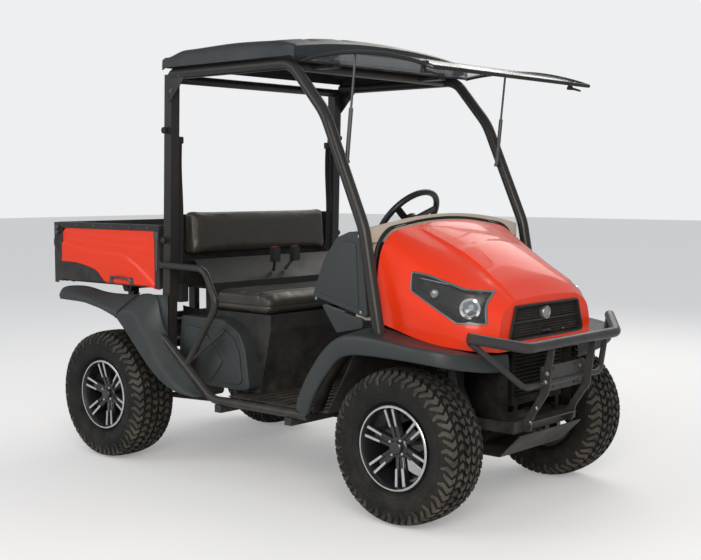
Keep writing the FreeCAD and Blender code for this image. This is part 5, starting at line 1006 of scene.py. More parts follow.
moulded("front_fender_skins", lip_rows(front_stations), fender_wall, "chassis", body_grey, crease=55,
        replaces=("front_fenders",))

# Rear fender: in two mouldings that meet in a slanting joint over the wheel. The ridge between the lit upper face
# and the steep lip runs from the sill over the tyre to a fin behind it. Stations from the sill to the fin.
fender_inner = 0.606
rear_front = (
    ((0.662, 0.150, 0.400), (0.688, 0.166, 0.400), (0.688, 0.190, 0.391)),
    ((0.640, 0.232, 0.432), (0.688, 0.262, 0.414), (0.688, 0.300, 0.392)),
    ((0.622, 0.320, 0.505), (fender_side, 0.345, 0.440), (fender_side, 0.400, 0.418)),
    ((0.608, 0.400, 0.575), (fender_side, 0.432, 0.510), (fender_side, 0.490, 0.468)),
    ((fender_inner, 0.466, 0.645), (fender_side, 0.508, 0.608), (fender_side, 0.590, 0.555)),
    ((fender_inner, 0.514, 0.712), (fender_side, 0.558, 0.674), (fender_side, 0.650, 0.614)),
    ((fender_inner, 0.530, 0.790), (fender_side, 0.606, 0.728), (fender_side, 0.694, 0.656)),
    ((fender_inner, 0.552, 0.838), (fender_side, 0.658, 0.758), (fender_side, 0.730, 0.688)),
    ((fender_inner, 0.610, 0.842), (fender_side, 0.700, 0.758), (fender_side, 0.750, 0.705)),
    ((fender_inner, 0.676, 0.834), (fender_side, 0.750, 0.744), (fender_side, 0.766, 0.718)),
)
rear_back = (
    ((fender_inner, 0.650, 0.833), (0.687, 0.725, 0.745), (0.687, 0.742, 0.702)),
    ((fender_inner, 0.690, 0.830), (0.688, 0.765, 0.744), (0.688, 0.782, 0.720)),
    ((fender_inner, 0.800, 0.827), (0.688, 0.832, 0.764), (fender_side, 0.842, 0.737)),
    ((fender_inner, 0.913, 0.826), (fender_side, 0.915, 0.785), (fender_side, 0.905, 0.755)),
    ((fender_inner, 1.000, 0.838), (fender_side, 1.002, 0.804), (fender_side, 1.005, 0.772)),
    ((fender_inner, 1.070, 0.850), (fender_side, 1.070, 0.807), (fender_side, 1.075, 0.775)),
    ((0.612, 1.150, 0.851), (0.688, 1.150, 0.809), (0.688, 1.152, 0.776)),
    ((0.630, 1.222, 0.846), (0.682, 1.220, 0.811), (0.686, 1.220, 0.778)),
    ((0.652, 1.240, 0.834), (0.672, 1.238, 0.812), (0.676, 1.236, 0.784)),
)
for part_name, stations in (("front", rear_front), ("back", rear_back)):
    moulded("rear_fender_" + part_name, lip_rows(stations), fender_wall, "chassis", body_grey,
            crease=55, replaces=("rear_fenders",))
# A dark seal lies in the joint between the two mouldings, and a flange closes the gap to the roll-over post.
joints = bmesh.new()
sweep(joints, [Vector((0.6065, 0.672, 0.8365)), Vector((0.645, 0.707, 0.800)), Vector((0.6865, 0.748, 0.7475)),
               Vector((0.6865, 0.764, 0.7165))], 0.0034, 8)
mirror_half(joints)
piece("fender_joints", joints, "chassis", seal_rubber, crease=60)


def flat_sheets(name, outline, finish, thickness, x, lean=0.0, foot=0.4):
    """A flat upright sheet on each side, through (y, z) corners at a distance from the middle; it may lean out."""
    form = bmesh.new()
    form.faces.new([form.verts.new((x + lean * (z - foot), y, z)) for y, z in outline])
    mirror_half(form)
    sheet = piece(name, form, "chassis", finish)
    walled(sheet, thickness, 0)


flat_sheets("post_flanges", ((0.470, 0.630), (0.545, 0.715), (0.570, 0.790), (0.590, 0.834), (0.470, 0.838)),
            body_grey, 0.002, 0.605)
# Wheel-well liners: black sheets from each lip inwards to the frame. Each: (y, z) path, inner and outer edge.
liner_form = bmesh.new()
for path, near, far in (
    (((1.220, 0.782), (1.025, 0.778), (0.886, 0.754), (0.761, 0.719), (0.694, 0.661), (0.507, 0.489), (0.420, 0.430)),
     0.5975, 0.684),
    (((-1.080, 0.690), (-1.040, 0.700), (-0.928, 0.704), (-0.800, 0.704), (-0.710, 0.684), (-0.640, 0.620),
      (-0.575, 0.530), (-0.520, 0.410)), 0.602, 0.672),
):
    strips(liner_form, [[liner_form.verts.new((x, *place)) for place in path]
                        for x in (near, near + (far - near) * 0.5, far)])
mirror_half(liner_form)
liners = piece("wheel_well_liners", liner_form, "chassis", core_and_shade_black, crease=50)
walled(liners, 0.003, 0)
# Splash shields: dark sheets that hang from the front fenders' inner edges and close the space beside the radiator.
# Their black is painted shade: it fills the space under the hood that lies in shadow.
flat_sheets("painted_shade_splash_shields", ((-1.205, 0.672), (-0.990, 0.700), (-0.990, 0.520), (-1.060, 0.400), (-1.205, 0.400)),
            core_and_shade_black, 0.003, 0.245, lean=0.012)


def plate(form, outline, axis, low, high, round_over, both=True):
    """Add a rounded plate to a bmesh: an outline between two places, its outer rim rounded over."""
    slab = outline_solid(outline, axis, low, high)
    axis_index = "xyz".index(axis)
    outer = high if abs(high) >= abs(low) else low
    rim = [edge for edge in slab.edges if all(abs(vert.co[axis_index] - outer) < 1e-6 for vert in edge.verts)]
    bmesh.ops.bevel(slab, geom=rim, offset=round_over, segments=3, profile=0.6, affect="EDGES", clamp_overlap=True)
    if both:
        mirror_half(slab)
    merge(form, slab)


# Side panels beside the knees: a bowed upper panel of the fenders' plastic, with a raised field and a rolled edge,
# screwed at three places over a short lower one.
knee = bmesh.new()
plate(knee, ((-0.700, 1.164, 0.012), (-0.636, 1.164, 0.030), (-0.565, 1.138, 0.045), (-0.495, 1.046, 0.070),
             (-0.428, 0.888, 0.022), (-0.735, 0.812, 0.014)), "x", 0.546, 0.570, 0.006)
plate(knee, ((-0.470, 0.858, 0.010), (-0.700, 0.806, 0.008), (-0.700, 0.768, 0.010), (-0.560, 0.738, 0.014)), "x",
      0.546, 0.562, 0.004)
plate(knee, ((-0.675, 1.120, 0.020), (-0.630, 1.126, 0.030), (-0.572, 1.100, 0.040), (-0.512, 1.020, 0.050),
             (-0.462, 0.906, 0.016), (-0.690, 0.850, 0.012)), "x", 0.568, 0.5735, 0.003)
piece("knee_panels", knee, "chassis", body_grey, crease=40, replaces=("side_panels",))
screws = bmesh.new()
bolts(screws, both_sides(0.5702, ((-0.690, 1.145), (-0.700, 0.835), (-0.452, 0.878))), 0.005, 0.003)
piece("panel_screws", screws, "chassis", bolt_zinc, crease=30)

# Seat side panels: thick mouldings of the fenders' plastic that close the seat base at both sides, each with two
# raised fields beside each other.
flank = bmesh.new()
plate(flank, ((-0.019, 0.424, 0.030), (0.008, 0.608, 0.120), (0.051, 0.690, 0.060), (0.160, 0.742, 0.080),
              (0.440, 0.742, 0.020), (0.470, 0.470, 0.020), (0.330, 0.424, 0.030)), "x", 0.4705, 0.548, 0.008)
plate(flank, ((0.024, 0.450, 0.030), (0.040, 0.590, 0.080), (0.080, 0.660, 0.050), (0.150, 0.700, 0.060),
              (0.240, 0.700, 0.020), (0.110, 0.560, 0.040), (0.200, 0.450, 0.030)), "x", 0.546, 0.555, 0.004)
plate(flank, ((0.150, 0.545, 0.020), (0.280, 0.690, 0.020), (0.410, 0.700, 0.020), (0.430, 0.500, 0.020),
              (0.330, 0.450, 0.020), (0.230, 0.450, 0.030)), "x", 0.546, 0.555, 0.004)
piece("seat_flanks", flank, "chassis", body_grey, crease=40, replaces=("seat_side_panels",))

# Seat end panels: dark sheets behind the seat base, one on each side, that close the engine space up to the lower
# back panel. Their black is painted shade, standing in for the shaded engine space seen through the gap.
flat_sheets("painted_shade_seat_end_panels", ((0.300, 0.430), (0.470, 0.470), (0.494, 0.780), (0.305, 0.760)), core_and_shade_black, 0.002,
            0.490)

# Floor, seat base, panel behind the hips and column: black moulded plastic. The floor has raised anti-slip ribs in
# rows across both footwells, the base a step and a lid line.
cab_black = coated("cab_plastic", (0.019, 0.020, 0.021), 0.42, 0.56, 0.3, 520, 6, 0.45, 0.9)
finish_nodes(cab_black, "floor_pan", "seat_base", "seat_back_panel", "dashboard", "steering_column",
             "pedals_and_lever")
rib_rows, rib_front, rib_pitch, rib_height, rib_radius = 9, -0.500, 0.052, 0.409, 0.0035
ribs = bmesh.new()
for number in range(rib_rows):
    for side in (-1, 1):
        sweep(ribs, [Vector((side * (0.07 + 0.062 * step), rib_front + rib_pitch * number, rib_height))
                     for step in range(9)], rib_radius, 8)
piece("floor_ribs", ribs, "chassis", cab_black, crease=60)

# Roll-over frame: side hoops of black round tube with square rear posts, cross tubes between them, and folded
# corner plates bolted in the rear top corners. Short round knobs stand on the posts where a rear screen clips on.
tube_black = coated("tube_paint_black", (0.024, 0.023, 0.022), 0.24, 0.36, 0.12, 420, 3, 0.2, 1.0)
finish_nodes(tube_black, "rops_sides", "rops_cross_tubes", "sill_tubes", "hip_guards", "backrest_frame")
gussets = bmesh.new()
plate(gussets, ((0.4385, 1.885, 0.004), (0.330, 1.885, 0.004), (0.322, 1.868, 0.006), (0.440, 1.745, 0.008),
                (0.4560, 1.742, 0.004), (0.4560, 1.868, 0.010)), "x", 0.5955, 0.6005, 0.0015)
piece("corner_plates", gussets, "chassis", tube_black, crease=30)
frame_bolts = bmesh.new()
bolts(frame_bolts, both_sides(0.6007, ((0.430, 1.790), (0.372, 1.862))), 0.009, 0.008)
for place, out in both_sides(0.594, ((0.469, 1.610), (0.4835, 1.097))):
    merge(frame_bolts, revolve([(0, 0), (0.018, 0), (0.018, 0.004), (0.0125, 0.007), (0.0125, 0.014), (0.0155, 0.018),
                                (0.0155, 0.026), (0.011, 0.030), (0, 0.030)], 24, towards(place, place + out)), 1)
piece("frame_bolts_and_knobs", frame_bolts, "chassis", dark_steel, seal_rubber, crease=30)

# Roof: one thick moulded panel of the fenders' plastic, crowned, with rolled edges, two long channels that stiffen
# it, and a thinner front lip over the windshield's hinge.
roof_grey = coated("roof_plastic", (0.016, 0.021, 0.025), 0.36, 0.5, 0.3, 480, 3, 0.12, 2.5, Specular_IOR_Level=0.4)
roof_front, roof_rear, roof_foot, roof_top, roof_half = -0.375, 0.470, 1.897, 2.0175, 0.608
roof_rows, roof_columns, top_half = 40, 64, 0.604
# The crown's fall at places along the roof, and the channels' places across it.
roof_falls = ((roof_front, 0.030), (-0.255, 0.008), (0.0, 0.0), (0.320, 0.006), (roof_rear, 0.034))
channels, channel_depth = (0.22, 0.44), 0.007


def roof_height(x, y):
    """Height of the roof's upper skin over a point."""
    drop = 0.0
    for near, far in zip(roof_falls, roof_falls[1:]):
        if near[0] <= y <= far[0]:
            drop = near[1] + (far[1] - near[1]) * ease(near[0], far[0], y)
    crown = roof_top - 0.043 * (abs(x) / roof_half) ** 2.2 - drop
    channel = sum(channel_depth * ease(0.030, 0.012, abs(abs(x) - centre)) for centre in channels)
    return crown - channel * ease(-0.345, -0.300, y) * ease(0.440, 0.400, y)


roof = bmesh.new()
rows = []
for step in range(roof_rows + 1):
    y = roof_front + 0.0005 + (roof_rear - roof_front - 0.001) * step / roof_rows
    tuck = 0.010 * ease(0.02, 0.0, min(y - roof_front, roof_rear - y))
    edge_height = roof_height(roof_half, y)
    row = [(-0.6215, roof_foot), (-0.6215, 1.920), (-0.620, 1.942), (-0.6165, edge_height - 0.014),
           (-0.6125, edge_height - 0.005)]
    across = [-top_half + 2 * top_half * column / roof_columns for column in range(roof_columns + 1)]
    row += [(x, roof_height(x, y)) for x in across] + [(-x, z) for x, z in row[4::-1]]
    rows.append([roof.verts.new((x, y, z - tuck)) for x, z in row])
strips(roof, rows)
for row, y in ((rows[0], roof_front), (rows[-1], roof_rear)):
    strips(roof, [row, [roof.verts.new((vert.co.x, y, max(roof_foot, vert.co.z - 0.008))) for vert in row],
                  [roof.verts.new((vert.co.x, y, roof_foot)) for vert in row]])
bmesh.ops.remove_doubles(roof, verts=roof.verts, dist=0.0004)
walled_piece("roof_skin", roof, "chassis", roof_grey, 0.005, -1, 40, replaces=("roof_panel",))

# Windshield: a clear scratch-resistant plastic pane with a black edge seal, swung up on two hinges and held there
# by gas struts. A rotary latch with its plate sits near each front corner.
clear_pane = polished("clear_pane", 0.03, 0.10, 4.0, Base_Color=(0.26, 0.31, 0.33, 1), IOR=1.49, Alpha=0.32,
                      Specular_IOR_Level=0.6)
finish_nodes(clear_pane, "windshield")
pane_hinge, pane_length, pane_hinge_height, pane_fall, pane_bow = -0.392, 0.688, 1.872, 0.072, 0.044
pane_half, latch_x, latch_along, hinge_x = 0.586, 0.548, 0.885, 0.38


def pane_point(x, along, lift):
    """A place on the windshield: along is 0 at the hinge and 1 at the tip."""
    return Vector((x, pane_hinge - pane_length * along,
                   pane_hinge_height - pane_fall * along + 4 * pane_bow * along * (1 - along) + lift))


edging = bmesh.new()
loop = [pane_point(-pane_half, step / 16, 0.003) for step in range(17)]
loop += [pane_point(-pane_half + 2 * pane_half * step / 12, 0.992, 0.003) for step in range(1, 13)]
loop += [pane_point(pane_half, 1 - step / 16, 0.003) for step in range(1, 17)]
sweep(edging, loop, 0.0085, 8)
sweep(edging, [pane_point(x, 0.012, 0.004) for x in (-pane_half, 0, pane_half)], 0.0075, 8)
piece("windshield_seal", edging, "chassis", seal_rubber, crease=60)
fittings = bmesh.new()
for side in (-1, 1):
    x = side * hinge_x
    merge(fittings, outline_solid(((x - 0.030, -0.445, 0.006), (x - 0.030, -0.385, 0.003), (x + 0.030, -0.385, 0.003),
                                   (x + 0.030, -0.445, 0.006)), "z", 1.8865, 1.8925))
    sweep(fittings, [Vector((x - 0.032, -0.386, 1.8795)), Vector((x + 0.032, -0.386, 1.8795))], 0.0065, 12)
    x = side * latch_x
    merge(fittings, revolve([(0, -0.010), (0.020, -0.010), (0.022, 0.0), (0.020, 0.004), (0.011, 0.006),
                             (0.010, 0.018), (0.014, 0.022), (0.014, 0.030), (0, 0.031)], 24,
                            towards(pane_point(x, latch_along, -0.002), pane_point(x, latch_along, -0.2))))
    start = pane_point(x, latch_along, -0.030)
    sweep(fittings, [start + Vector((0, 0.012, 0)), start + Vector((-side * 0.010, -0.030, -0.006)),
                     start + Vector((-side * 0.014, -0.062, -0.016))], [0.0065, 0.0055, 0.0045])
piece("windshield_fittings", fittings, "chassis", grille_black)

# Seat: a bench with one long cushion and a separate backrest, foam under smooth black vinyl. The covers are swollen
# by their foam, so both are blown up as cloth from a slightly smaller block, then get their sewn seams, and the
# cushion its stitches.
vinyl, vinyl_tree, vinyl_shader = material("black_vinyl", Specular_IOR_Level=0.45)
# The vinyl's base is black lightened and warmed a little: a painted warm sunlit sheen over the real black.
vinyl_dust_and_sunlit_tint = place_group(vinyl_tree, dust, Base=(0.030, 0.027, 0.023, 1), Dust=(0.2, 0.16, 0.11, 1), Top_Height=2.6,
                         Amount=0.10)
vinyl_skin = place_group(vinyl_tree, peel, Patch_Size=7.0, Roughness_Low=0.30, Roughness_High=0.48)
vinyl_spot = add_node(vinyl_tree, "ShaderNodeTexCoord")
vinyl_grain = add_node(vinyl_tree, "ShaderNodeTexVoronoi", feature="SMOOTH_F1", Scale=420.0)
vinyl_folds = add_node(vinyl_tree, "ShaderNodeTexNoise", Scale=9.0, Detail=3.0, Distortion=0.8)
vinyl_fine = add_node(vinyl_tree, "ShaderNodeBump", Strength=0.22, Distance=0.0006)
vinyl_soft = add_node(vinyl_tree, "ShaderNodeBump", Strength=0.35, Distance=0.006)
connect(vinyl_tree, (vinyl_spot, "Object", vinyl_grain, "Vector"), (vinyl_spot, "Object", vinyl_folds, "Vector"),
        (vinyl_grain, "Distance", vinyl_fine, "Height"), (vinyl_folds, "Fac", vinyl_soft, "Height"),
        (vinyl_soft, 0, vinyl_fine, "Normal"), (vinyl_fine, 0, vinyl_shader, "Normal"),
        (vinyl_skin, "Roughness", vinyl_shader, "Roughness"), (vinyl_dust_and_sunlit_tint, "Color", vinyl_shader, "Base Color"))


voxel_size, quick_voxel_size, swell_frames, swell_pressure = 0.008, 0.0125, 20, 4


def blown_pad(name, outline, half_width, end_round, cap, node):
    """A foam pad: a block with the side outline given, remeshed, blown up as cloth and smoothed."""
    middle_y, middle_z = (sum(point[axis] for point in outline) / len(outline) for axis in (0, 1))
    form = outline_solid(outline, "x", -half_width, half_width)
    mesh = bpy.data.meshes.new(name)
    bmesh.ops.triangulate(form, faces=[face for face in form.faces if len(face.verts) > 4])
    form.to_mesh(mesh)
    form.free()
    pad = link_up(name, mesh)
    remesh = pad.modifiers.new("remesh", "REMESH")
    remesh.mode, remesh.voxel_size = "VOXEL", voxel_size
    apply_modifiers(pad)
    # Round the block's ends off before it swells.
    for vert in pad.data.vertices:
        reach = max(0.0, abs(vert.co.x) - (half_width - end_round)) / end_round
        shrink = 1 - 0.10 * reach ** 2.5
        vert.co.y = middle_y + (vert.co.y - middle_y) * shrink
        vert.co.z = middle_z + (vert.co.z - middle_z) * shrink
    start = [vert.co.copy() for vert in pad.data.vertices]
    cloth = pad.modifiers.new("cloth", "CLOTH")
    cloth.settings.use_pressure = True
    cloth.settings.uniform_pressure_force = swell_pressure
    cloth.settings.quality = 4
    cloth.settings.effector_weights.gravity = 0
    cloth.point_cache.frame_start, cloth.point_cache.frame_end = 1, swell_frames
    for frame_number in range(1, swell_frames + 1):
        bpy.context.scene.frame_set(frame_number)
    apply_modifiers(pad)
    bpy.context.scene.frame_set(1)
    for vert, place in zip(pad.data.vertices, start):
        move = vert.co - place
        if move.length > cap:
            vert.co = place + move.normalized() * cap
    pad.data.materials.clear()
    pad.data.materials.append(vinyl)
    relax = pad.modifiers.new("relax", "SMOOTH")
    relax.factor, relax.iterations = 0.5, 6
    finer = pad.modifiers.new("finer", "SUBSURF")
    finer.levels = finer.render_levels = 1
    apply_modifiers(pad)
    pad.data.shade_smooth()
    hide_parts(node)
    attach(pad, "chassis")
    return pad


def sink(pad, depth, width, distance_to_line):
    """Press a sewn channel into a pad: every vertex near a line moves in along its normal."""
    for vert in pad.data.vertices:
        near = distance_to_line(vert.co)
        if near < width:
            vert.co -= vert.normal * depth * (1 - (near / width) ** 2) ** 2


# Distances of a point from the seams; 1 stands for far away, past the places where a seam runs.
def front_channel(point):
    """The channel across the cushion's top, just behind its front edge."""
    return max(abs(point.y + 0.012), 0.836 - point.z)


def cushion_seam(point):
    """The seam round the cushion's front and ends, halfway down."""
    return abs(point.z - 0.806) if point.y < 0.02 or abs(point.x) > 0.46 else 1


def backrest_seam(point):
    """The seam round the backrest's top, foot and ends."""
    return abs(point.y - 0.482) if point.z > 1.19 or point.z < 1.06 or abs(point.x) > 0.44 else 1


cushion = blown_pad("bench_cushion",
                    ((-0.092, 0.776, 0.030), (-0.094, 0.848, 0.040), (-0.020, 0.858, 0.060), (0.288, 0.862, 0.024),
                     (0.292, 0.778, 0.012)), 0.490, 0.05, 0.012, "seat_cushion")
backrest = blown_pad("bench_backrest",
                     ((0.437, 1.020, 0.026), (0.506, 1.018, 0.016), (0.508, 1.234, 0.028), (0.452, 1.236, 0.036)),
                     0.474, 0.045, 0.010, "seat_backrest")
sink(cushion, 0.006, 0.008, front_channel)
sink(cushion, 0.004, 0.006, cushion_seam)
sink(backrest, 0.004, 0.006, backrest_seam)
stitch_black = coated("stitch_thread", (0.05, 0.048, 0.045), 0.6, 0.8, 0.1, 900, 20, 0.1, 1.5)
stitches, stitch_row_half, stitch_half, stitch_foot, stitch_top = 104, 0.470, 0.0028, 0.8655, 0.8668
thread = bmesh.new()
for number in range(stitches):
    x = -stitch_row_half + 2 * stitch_row_half * number / (stitches - 1)
    for y in (-0.0225, -0.0015):
        sweep(thread, [Vector((x - stitch_half, y, stitch_foot)), Vector((x, y, stitch_top)),
                       Vector((x + stitch_half, y, stitch_foot))], 0.0006, 5)
piece("cushion_stitches", thread, "chassis", stitch_black, crease=60)

# Belts: black webbing from a reel on each rear post over a guide, and two buckles on stiff stalks between the
# seats, black cases with red press buttons. Webbing has a fine twill and a doubled edge.
webbing, webbing_tree, webbing_shader = material("seat_webbing", Roughness=0.75, Specular_IOR_Level=0.2)
webbing_spot = add_node(webbing_tree, "ShaderNodeTexCoord")
twill = add_node(webbing_tree, "ShaderNodeTexWave", wave_type="BANDS", bands_direction="DIAGONAL", Scale=260.0,
                 Distortion=0.4)
twill_shade = add_node(webbing_tree, "ShaderNodeMix", data_type="RGBA")
twill_shade.inputs[6].default_value = (0.010, 0.010, 0.011, 1)
twill_shade.inputs[7].default_value = (0.035, 0.035, 0.037, 1)
twill_relief = add_node(webbing_tree, "ShaderNodeBump", Strength=0.4, Distance=0.0005)
connect(webbing_tree, (webbing_spot, "Object", twill, "Vector"), (twill, "Fac", twill_shade, "Factor"),
        (twill, "Fac", twill_relief, "Height"), (twill_shade, 2, webbing_shader, "Base Color"),
        (twill_relief, 0, webbing_shader, "Normal"))
red_button = coated("red_button", (0.45, 0.012, 0.008), 0.25, 0.35, 0.1, 300, 15, 0.05, 1.5)
buckle_x, post_face, reel_depth = 0.070, 0.5435, 0.042


def rectangle(low_a, high_a, low_b, high_b, radius):
    """Corners of a rectangle for outline_solid, all with one radius."""
    return (low_a, low_b, radius), (high_a, low_b, radius), (high_a, high_b, radius), (low_a, high_b, radius)


belt_cases = bmesh.new()
for lean in (-1, 1):
    middle = lean * buckle_x
    low, high = Vector((lean * 0.040, 0.3278, 0.9332)), Vector((middle, 0.285, 1.000))
    sweep(belt_cases, [low, low + (high - low) * 0.4, high], [0.009, 0.0065, 0.0075], 12)
    box = outline_solid(((middle - 0.026, 0.978, 0.010), (middle + 0.026, 0.978, 0.010),
                         (middle + 0.025, 1.052, 0.012), (middle - 0.025, 1.052, 0.012)), "y", 0.271, 0.299)
    rim = [edge for edge in box.edges if abs(edge.verts[0].co.y - edge.verts[1].co.y) < 1e-6]
    bmesh.ops.bevel(box, geom=rim, offset=0.003, segments=2, affect="EDGES", clamp_overlap=True)
    merge(belt_cases, box)
    button = rectangle(middle - 0.015, middle + 0.015, 0.278, 0.292, 0.003)
    merge(belt_cases, outline_solid(button, "z", 1.046, 1.0545), 1)
for side in (-1, 1):
    for place in ((0.441, 0.504, 0.801, 0.889), (0.463, 0.480, 1.551, 1.584)):
        merge(belt_cases, outline_solid(rectangle(*place, 0.008), "x", side * (post_face - reel_depth),
                                        side * post_face))
piece("buckles_and_reels", belt_cases, "chassis", cab_black, red_button, replaces=("seat_belts",))
strap_steps, strap_columns, strap_inner, strap_width = 32, 6, 0.5045, 0.036
strap_y, strap_foot, strap_run = 0.4715, 0.880, 0.680
straps = bmesh.new()
for side in (-1, 1):
    rows = []
    for along in (step / strap_steps for step in range(strap_steps + 1)):
        y = strap_y + 0.004 * math.sin(along * 9.4)
        rows.append([straps.verts.new((side * (strap_inner + strap_width * across / strap_columns),
                                       y - 0.0006 * (across in (0, strap_columns)), strap_foot + strap_run * along))
                     for across in range(strap_columns + 1)])
    strips(straps, rows)
walled_piece("belt_webbing", straps, "chassis", webbing, 0.0014, 0, 50)

# Bed: a steel tub with a black rail round its top, and pressed side panels in the body's orange-red. Two shallow
# beads run along each side above a swept crease, and a plain black swoosh covers the rear lower corner.
bed_black = coated("bed_coating_black", (0.020, 0.020, 0.021), 0.4, 0.6, 0.4, 340, 5, 0.45, 1.3)
finish_nodes(bed_black, "bed_tub")


def polyline(points, place):
    """Height of a line of (place, height) points at a place, smooth through them and level beyond its ends."""
    places = [point[0] for point in points]
    return curve_through(places, [point[1] for point in points], min(max(place, places[0]), places[-1]))


bed_crease = ((0.5355, 0.850), (0.567, 0.876), (0.636, 0.923), (0.720, 0.974), (0.809, 1.010), (0.905, 1.019),
              (1.051, 1.022), (1.231, 1.049), (1.320, 1.064))
swoosh_edge = ((0.944, 0.872), (0.973, 0.891), (1.022, 0.929), (1.100, 0.949), (1.201, 0.963), (1.320, 0.965))
bed_top, bed_low, bed_front, bed_rear, bed_half = 1.1362, 0.8705, 0.5355, 1.3200, 0.6012
# Beads: height at the front and at the rear of their run, and how deep they're pressed.
beads, bead_start, bead_run, bead_depth, crease_step = ((1.098, 1.120), (1.053, 1.089)), 0.623, 0.649, 0.0035, 0.0055


def bed_side_x(y, z):
    """Half width of the bed's pressed side at a point: the field below the crease stands proud of the upper one."""
    lift = -crease_step * ease(-0.006, 0.006, z - polyline(bed_crease, y))
    reach = ease(0.615, 0.650, y) * ease(1.295, 1.250, y)
    for front_z, rear_z in beads:
        bead = front_z + (rear_z - front_z) * (y - bead_start) / bead_run
        lift -= bead_depth * ease(0.008, 0.002, abs(z - bead)) * reach
    corner_cut = ease(0.012, 0.0, bed_rear - y) + ease(0.010, 0.0, y - bed_front) + ease(0.008, 0.0, z - bed_low)
    return bed_half + lift - 0.004 * min(1.0, corner_cut)


def side_sheet(low_line, high_line, front, rear, columns, levels_up, proud):
    """Both sides' sheet between two lines, as a grid that follows the bed's pressed side."""
    sheet = bmesh.new()
    rows = []
    for step in range(columns + 1):
        y = front + (rear - front) * step / columns
        low, high = low_line(y), high_line(y)
        rows.append([sheet.verts.new((bed_side_x(y, z) + proud, y, z))
                     for z in (low + (high - low) * level / levels_up for level in range(levels_up + 1))])
    strips(sheet, rows)
    bmesh.ops.remove_doubles(sheet, verts=sheet.verts, dist=1e-6)
    mirror_half(sheet)
    return sheet


def bed_upper_edge(y):
    """Upper edge of the bed's side, with its rear corner cut off and the front corner left to a bracket."""
    return bed_top - 0.030 * ease(1.277, 1.322, y) - 0.036 * ease(0.572, 0.566, y)


def bed_lower_edge(y):
    """Lower edge of the bed's side, a little deeper at its front."""
    return bed_low - 0.013 * ease(0.640, 0.540, y)


bed_sides = side_sheet(bed_lower_edge, bed_upper_edge, bed_front, bed_rear, 150, 66, 0)
walled_piece("pressed_bed_sides", bed_sides, "bed", paint_orange, 0.0010, -1, 32,
             replaces=("bed_side_panels",))
swooshes = side_sheet(lambda y: bed_low, lambda y: polyline(swoosh_edge, y), swoosh_edge[0][0], bed_rear, 60, 12,
                      0.0005)
walled_piece("bed_side_swooshes", swooshes, "bed", bed_black, 0.0006, 0, 40)

# Bed fittings: on each side a release handle low at the middle, a latch lever on the front edge under a bracket,
# rivets along the rail, and round knobs with a wire loop at the tailgate's upper corner.
bed_fittings = bmesh.new()
for side in (-1, 1):
    x = side * 0.5975
    sweep(bed_fittings, [Vector((x, 0.900, 0.896)), Vector((x + side * 0.016, 0.885, 0.902)),
                         Vector((x + side * 0.020, 0.850, 0.906)), Vector((x + side * 0.020, 0.790, 0.903)),
                         Vector((x + side * 0.016, 0.755, 0.897)), Vector((x, 0.742, 0.889))], 0.0055, 10)
    for y in (0.742, 0.900):
        merge(bed_fittings, outline_solid(((y - 0.014, 0.872, 0.003), (y + 0.014, 0.872, 0.003),
                                           (y + 0.010, 0.908, 0.005), (y - 0.010, 0.908, 0.005)), "x", side * 0.5985,
                                          side * 0.6045))
    for outline in (((0.5365, 1.100, 0.002), (0.5700, 1.096, 0.002), (0.5710, 1.134, 0.002), (0.5365, 1.134, 0.002)),
                    ((0.5450, 0.946, 0.006), (0.5580, 0.941, 0.006), (0.5580, 1.098, 0.004), (0.5400, 1.098, 0.004))):
        merge(bed_fittings, outline_solid(outline, "x", side * 0.5960, side * 0.6045))
    bolts(bed_fittings, [(Vector((side * 0.6, y, 1.151)), Vector((side, 0, 0))) for y in
                         (0.62, 0.76, 0.90, 1.04, 1.18, 1.31)], 0.0045, 0.0035)
    for z in (1.140, 1.116):
        merge(bed_fittings, revolve([(0, 0), (0.009, 0), (0.009, 0.010), (0.013, 0.014), (0.013, 0.020),
                                     (0.010, 0.023), (0, 0.023)], 20,
                                    towards(Vector((side * 0.598, 1.335, z)), Vector((side, 1.335, z)))))
    loop = [Vector((side * 0.612, 1.338 + 0.024 * math.sin(math.pi * step / 12), 1.112 - 0.100 * step / 12))
            for step in range(13)]
    sweep(bed_fittings, loop, 0.0018, 6)
piece("bed_fittings", bed_fittings, "bed", dark_steel)

# Tailgate: a ribbed steel skin, painted like the bed's sides and hinged along its foot. Black folded channels cap
# its side and top edges.
finish_nodes(paint_orange, "tailgate")
gate_rear, cap_top, cap_half, channel_half = 1.3785, 1.165, 0.5965, 0.572
gate_caps = bmesh.new()
plate(gate_caps, rectangle(1.3475, gate_rear, 0.852, cap_top, 0.002), "x", 0.5950, 0.5985, 0.0008)
for y in (1.3252, gate_rear):
    plate(gate_caps, rectangle(-cap_half, cap_half, 1.140, cap_top, 0.002), "y", y - 0.0012, y, 0.0005, both=False)
plate(gate_caps, rectangle(-channel_half, channel_half, 1.3240, gate_rear, 0.002), "z", 1.1640, 1.1662, 0.0005,
      both=False)
plate(gate_caps, rectangle(-channel_half, channel_half, 0.858, 1.1645, 0.004), "y", 1.3230, 1.3238, 0.0003,
      both=False)
piece("tailgate_caps", gate_caps, "tailgate", bed_black, crease=30, slot="trim_black")

# Steering wheel: a grip with its spokes and hub, all moulded in grained black plastic. A plain domed cap closes the
# hub.
wheel_black = coated("steering_wheel_plastic", (0.016, 0.017, 0.019), 0.30, 0.42, 0.10, 520, 12, 0.12, 1.4)
finish_nodes(wheel_black, "steering_wheel")
wheel_tilt = math.radians(38)
wheel_centre = Vector((0.290, -0.262, 1.180))
wheel_axis = Vector((0, math.cos(wheel_tilt), math.sin(wheel_tilt)))
cap = revolve([(0, -0.012), (0.050, -0.012), (0.050, 0.001), (0.046, 0.006), (0.038, 0.009), (0.034, 0.008),
               (0.030, 0.0105), (0.018, 0.013), (0, 0.014)], 48, towards(wheel_centre, wheel_centre + wheel_axis))
piece("steering_wheel_cap", cap, "steering_wheel", wheel_black, crease=30, slot="trim_black")

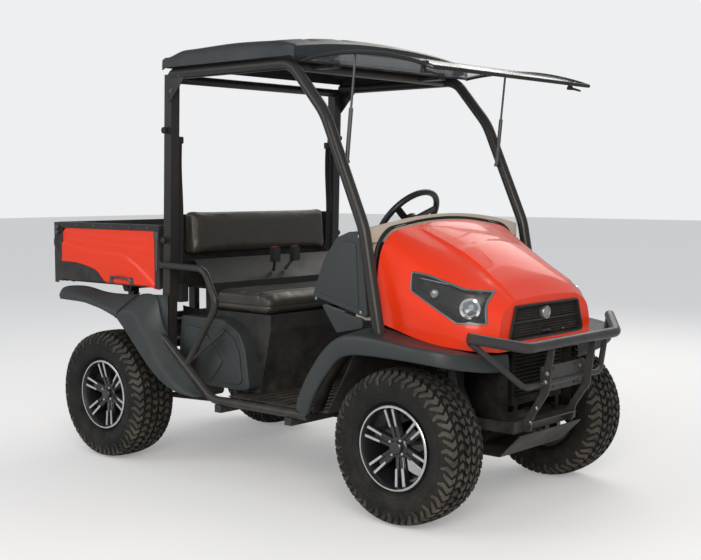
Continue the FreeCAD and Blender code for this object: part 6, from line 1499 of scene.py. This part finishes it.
# Instruments: a hooded cluster with a dark display on the dashboard behind the wheel, and beside it a row of rocker
# switches, a key switch and a power socket.
cluster = bmesh.new()
for outline, back, face, finish_index in (
    (((0.225, 1.022, 0.024), (0.355, 1.022, 0.024), (0.345, 1.100, 0.030), (0.235, 1.100, 0.030)),
     -0.600, -0.574, None),
    (((0.238, 1.034, 0.014), (0.342, 1.034, 0.014), (0.334, 1.088, 0.018), (0.246, 1.088, 0.018)),
     -0.576, -0.5725, 1),
):
    merge(cluster, outline_solid(outline, "y", back, face), finish_index)
for x in (0.060, 0.095, 0.130, 0.165):
    merge(cluster, outline_solid(rectangle(x - 0.011, x + 0.011, 1.030, 1.066, 0.002), "y", -0.596, -0.583))
for x, radius in ((0.420, 0.016), (0.020, 0.014)):
    merge(cluster, revolve([(0, 0.012), (radius * 0.35, 0.012), (radius * 0.35, 0.005), (radius * 0.85, 0.005),
                            (radius, 0.002), (radius, -0.004), (0, -0.004)], 28,
                           towards(Vector((x, -0.590, 1.045)), Vector((x, 0, 1.045)))))
piece("dash_instruments", cluster, "chassis", grille_black, tray_plastic, crease=30, slot="trim_black")

# Tail lamps: a black housing at each side under the bed's rear edge. Each holds a red lens with a rounded edge and,
# towards the middle, a small clear reversing field.
lamp_red = coated("tail_lamp_lens", (0.36, 0.006, 0.008), 0.12, 0.22, 0.06, 300, 20, 0.04, 1.2, Coat_Weight=0.8)
finish_nodes(grille_black, "tail_lamps")
lens_back, lens_face = 1.3060, 1.3145
tail_lenses = bmesh.new()
for side in (-1, 1):
    for inner, outer, finish_index in ((0.216, 0.262, 1), (0.265, 0.325, 0)):
        lens = outline_solid(rectangle(side * inner, side * outer, 0.516, 0.561, 0.006), "y", lens_back, lens_face)
        lens_rim = [edge for edge in lens.edges if all(vert.co.y > lens_face - 0.0005 for vert in edge.verts)]
        bmesh.ops.bevel(lens, geom=lens_rim, offset=0.003, segments=2, affect="EDGES", clamp_overlap=True)
        merge(tail_lenses, lens, finish_index)
piece("tail_lamp_lenses", tail_lenses, "chassis", lamp_red, bezel_grey, crease=30, slot="lamp_glass")
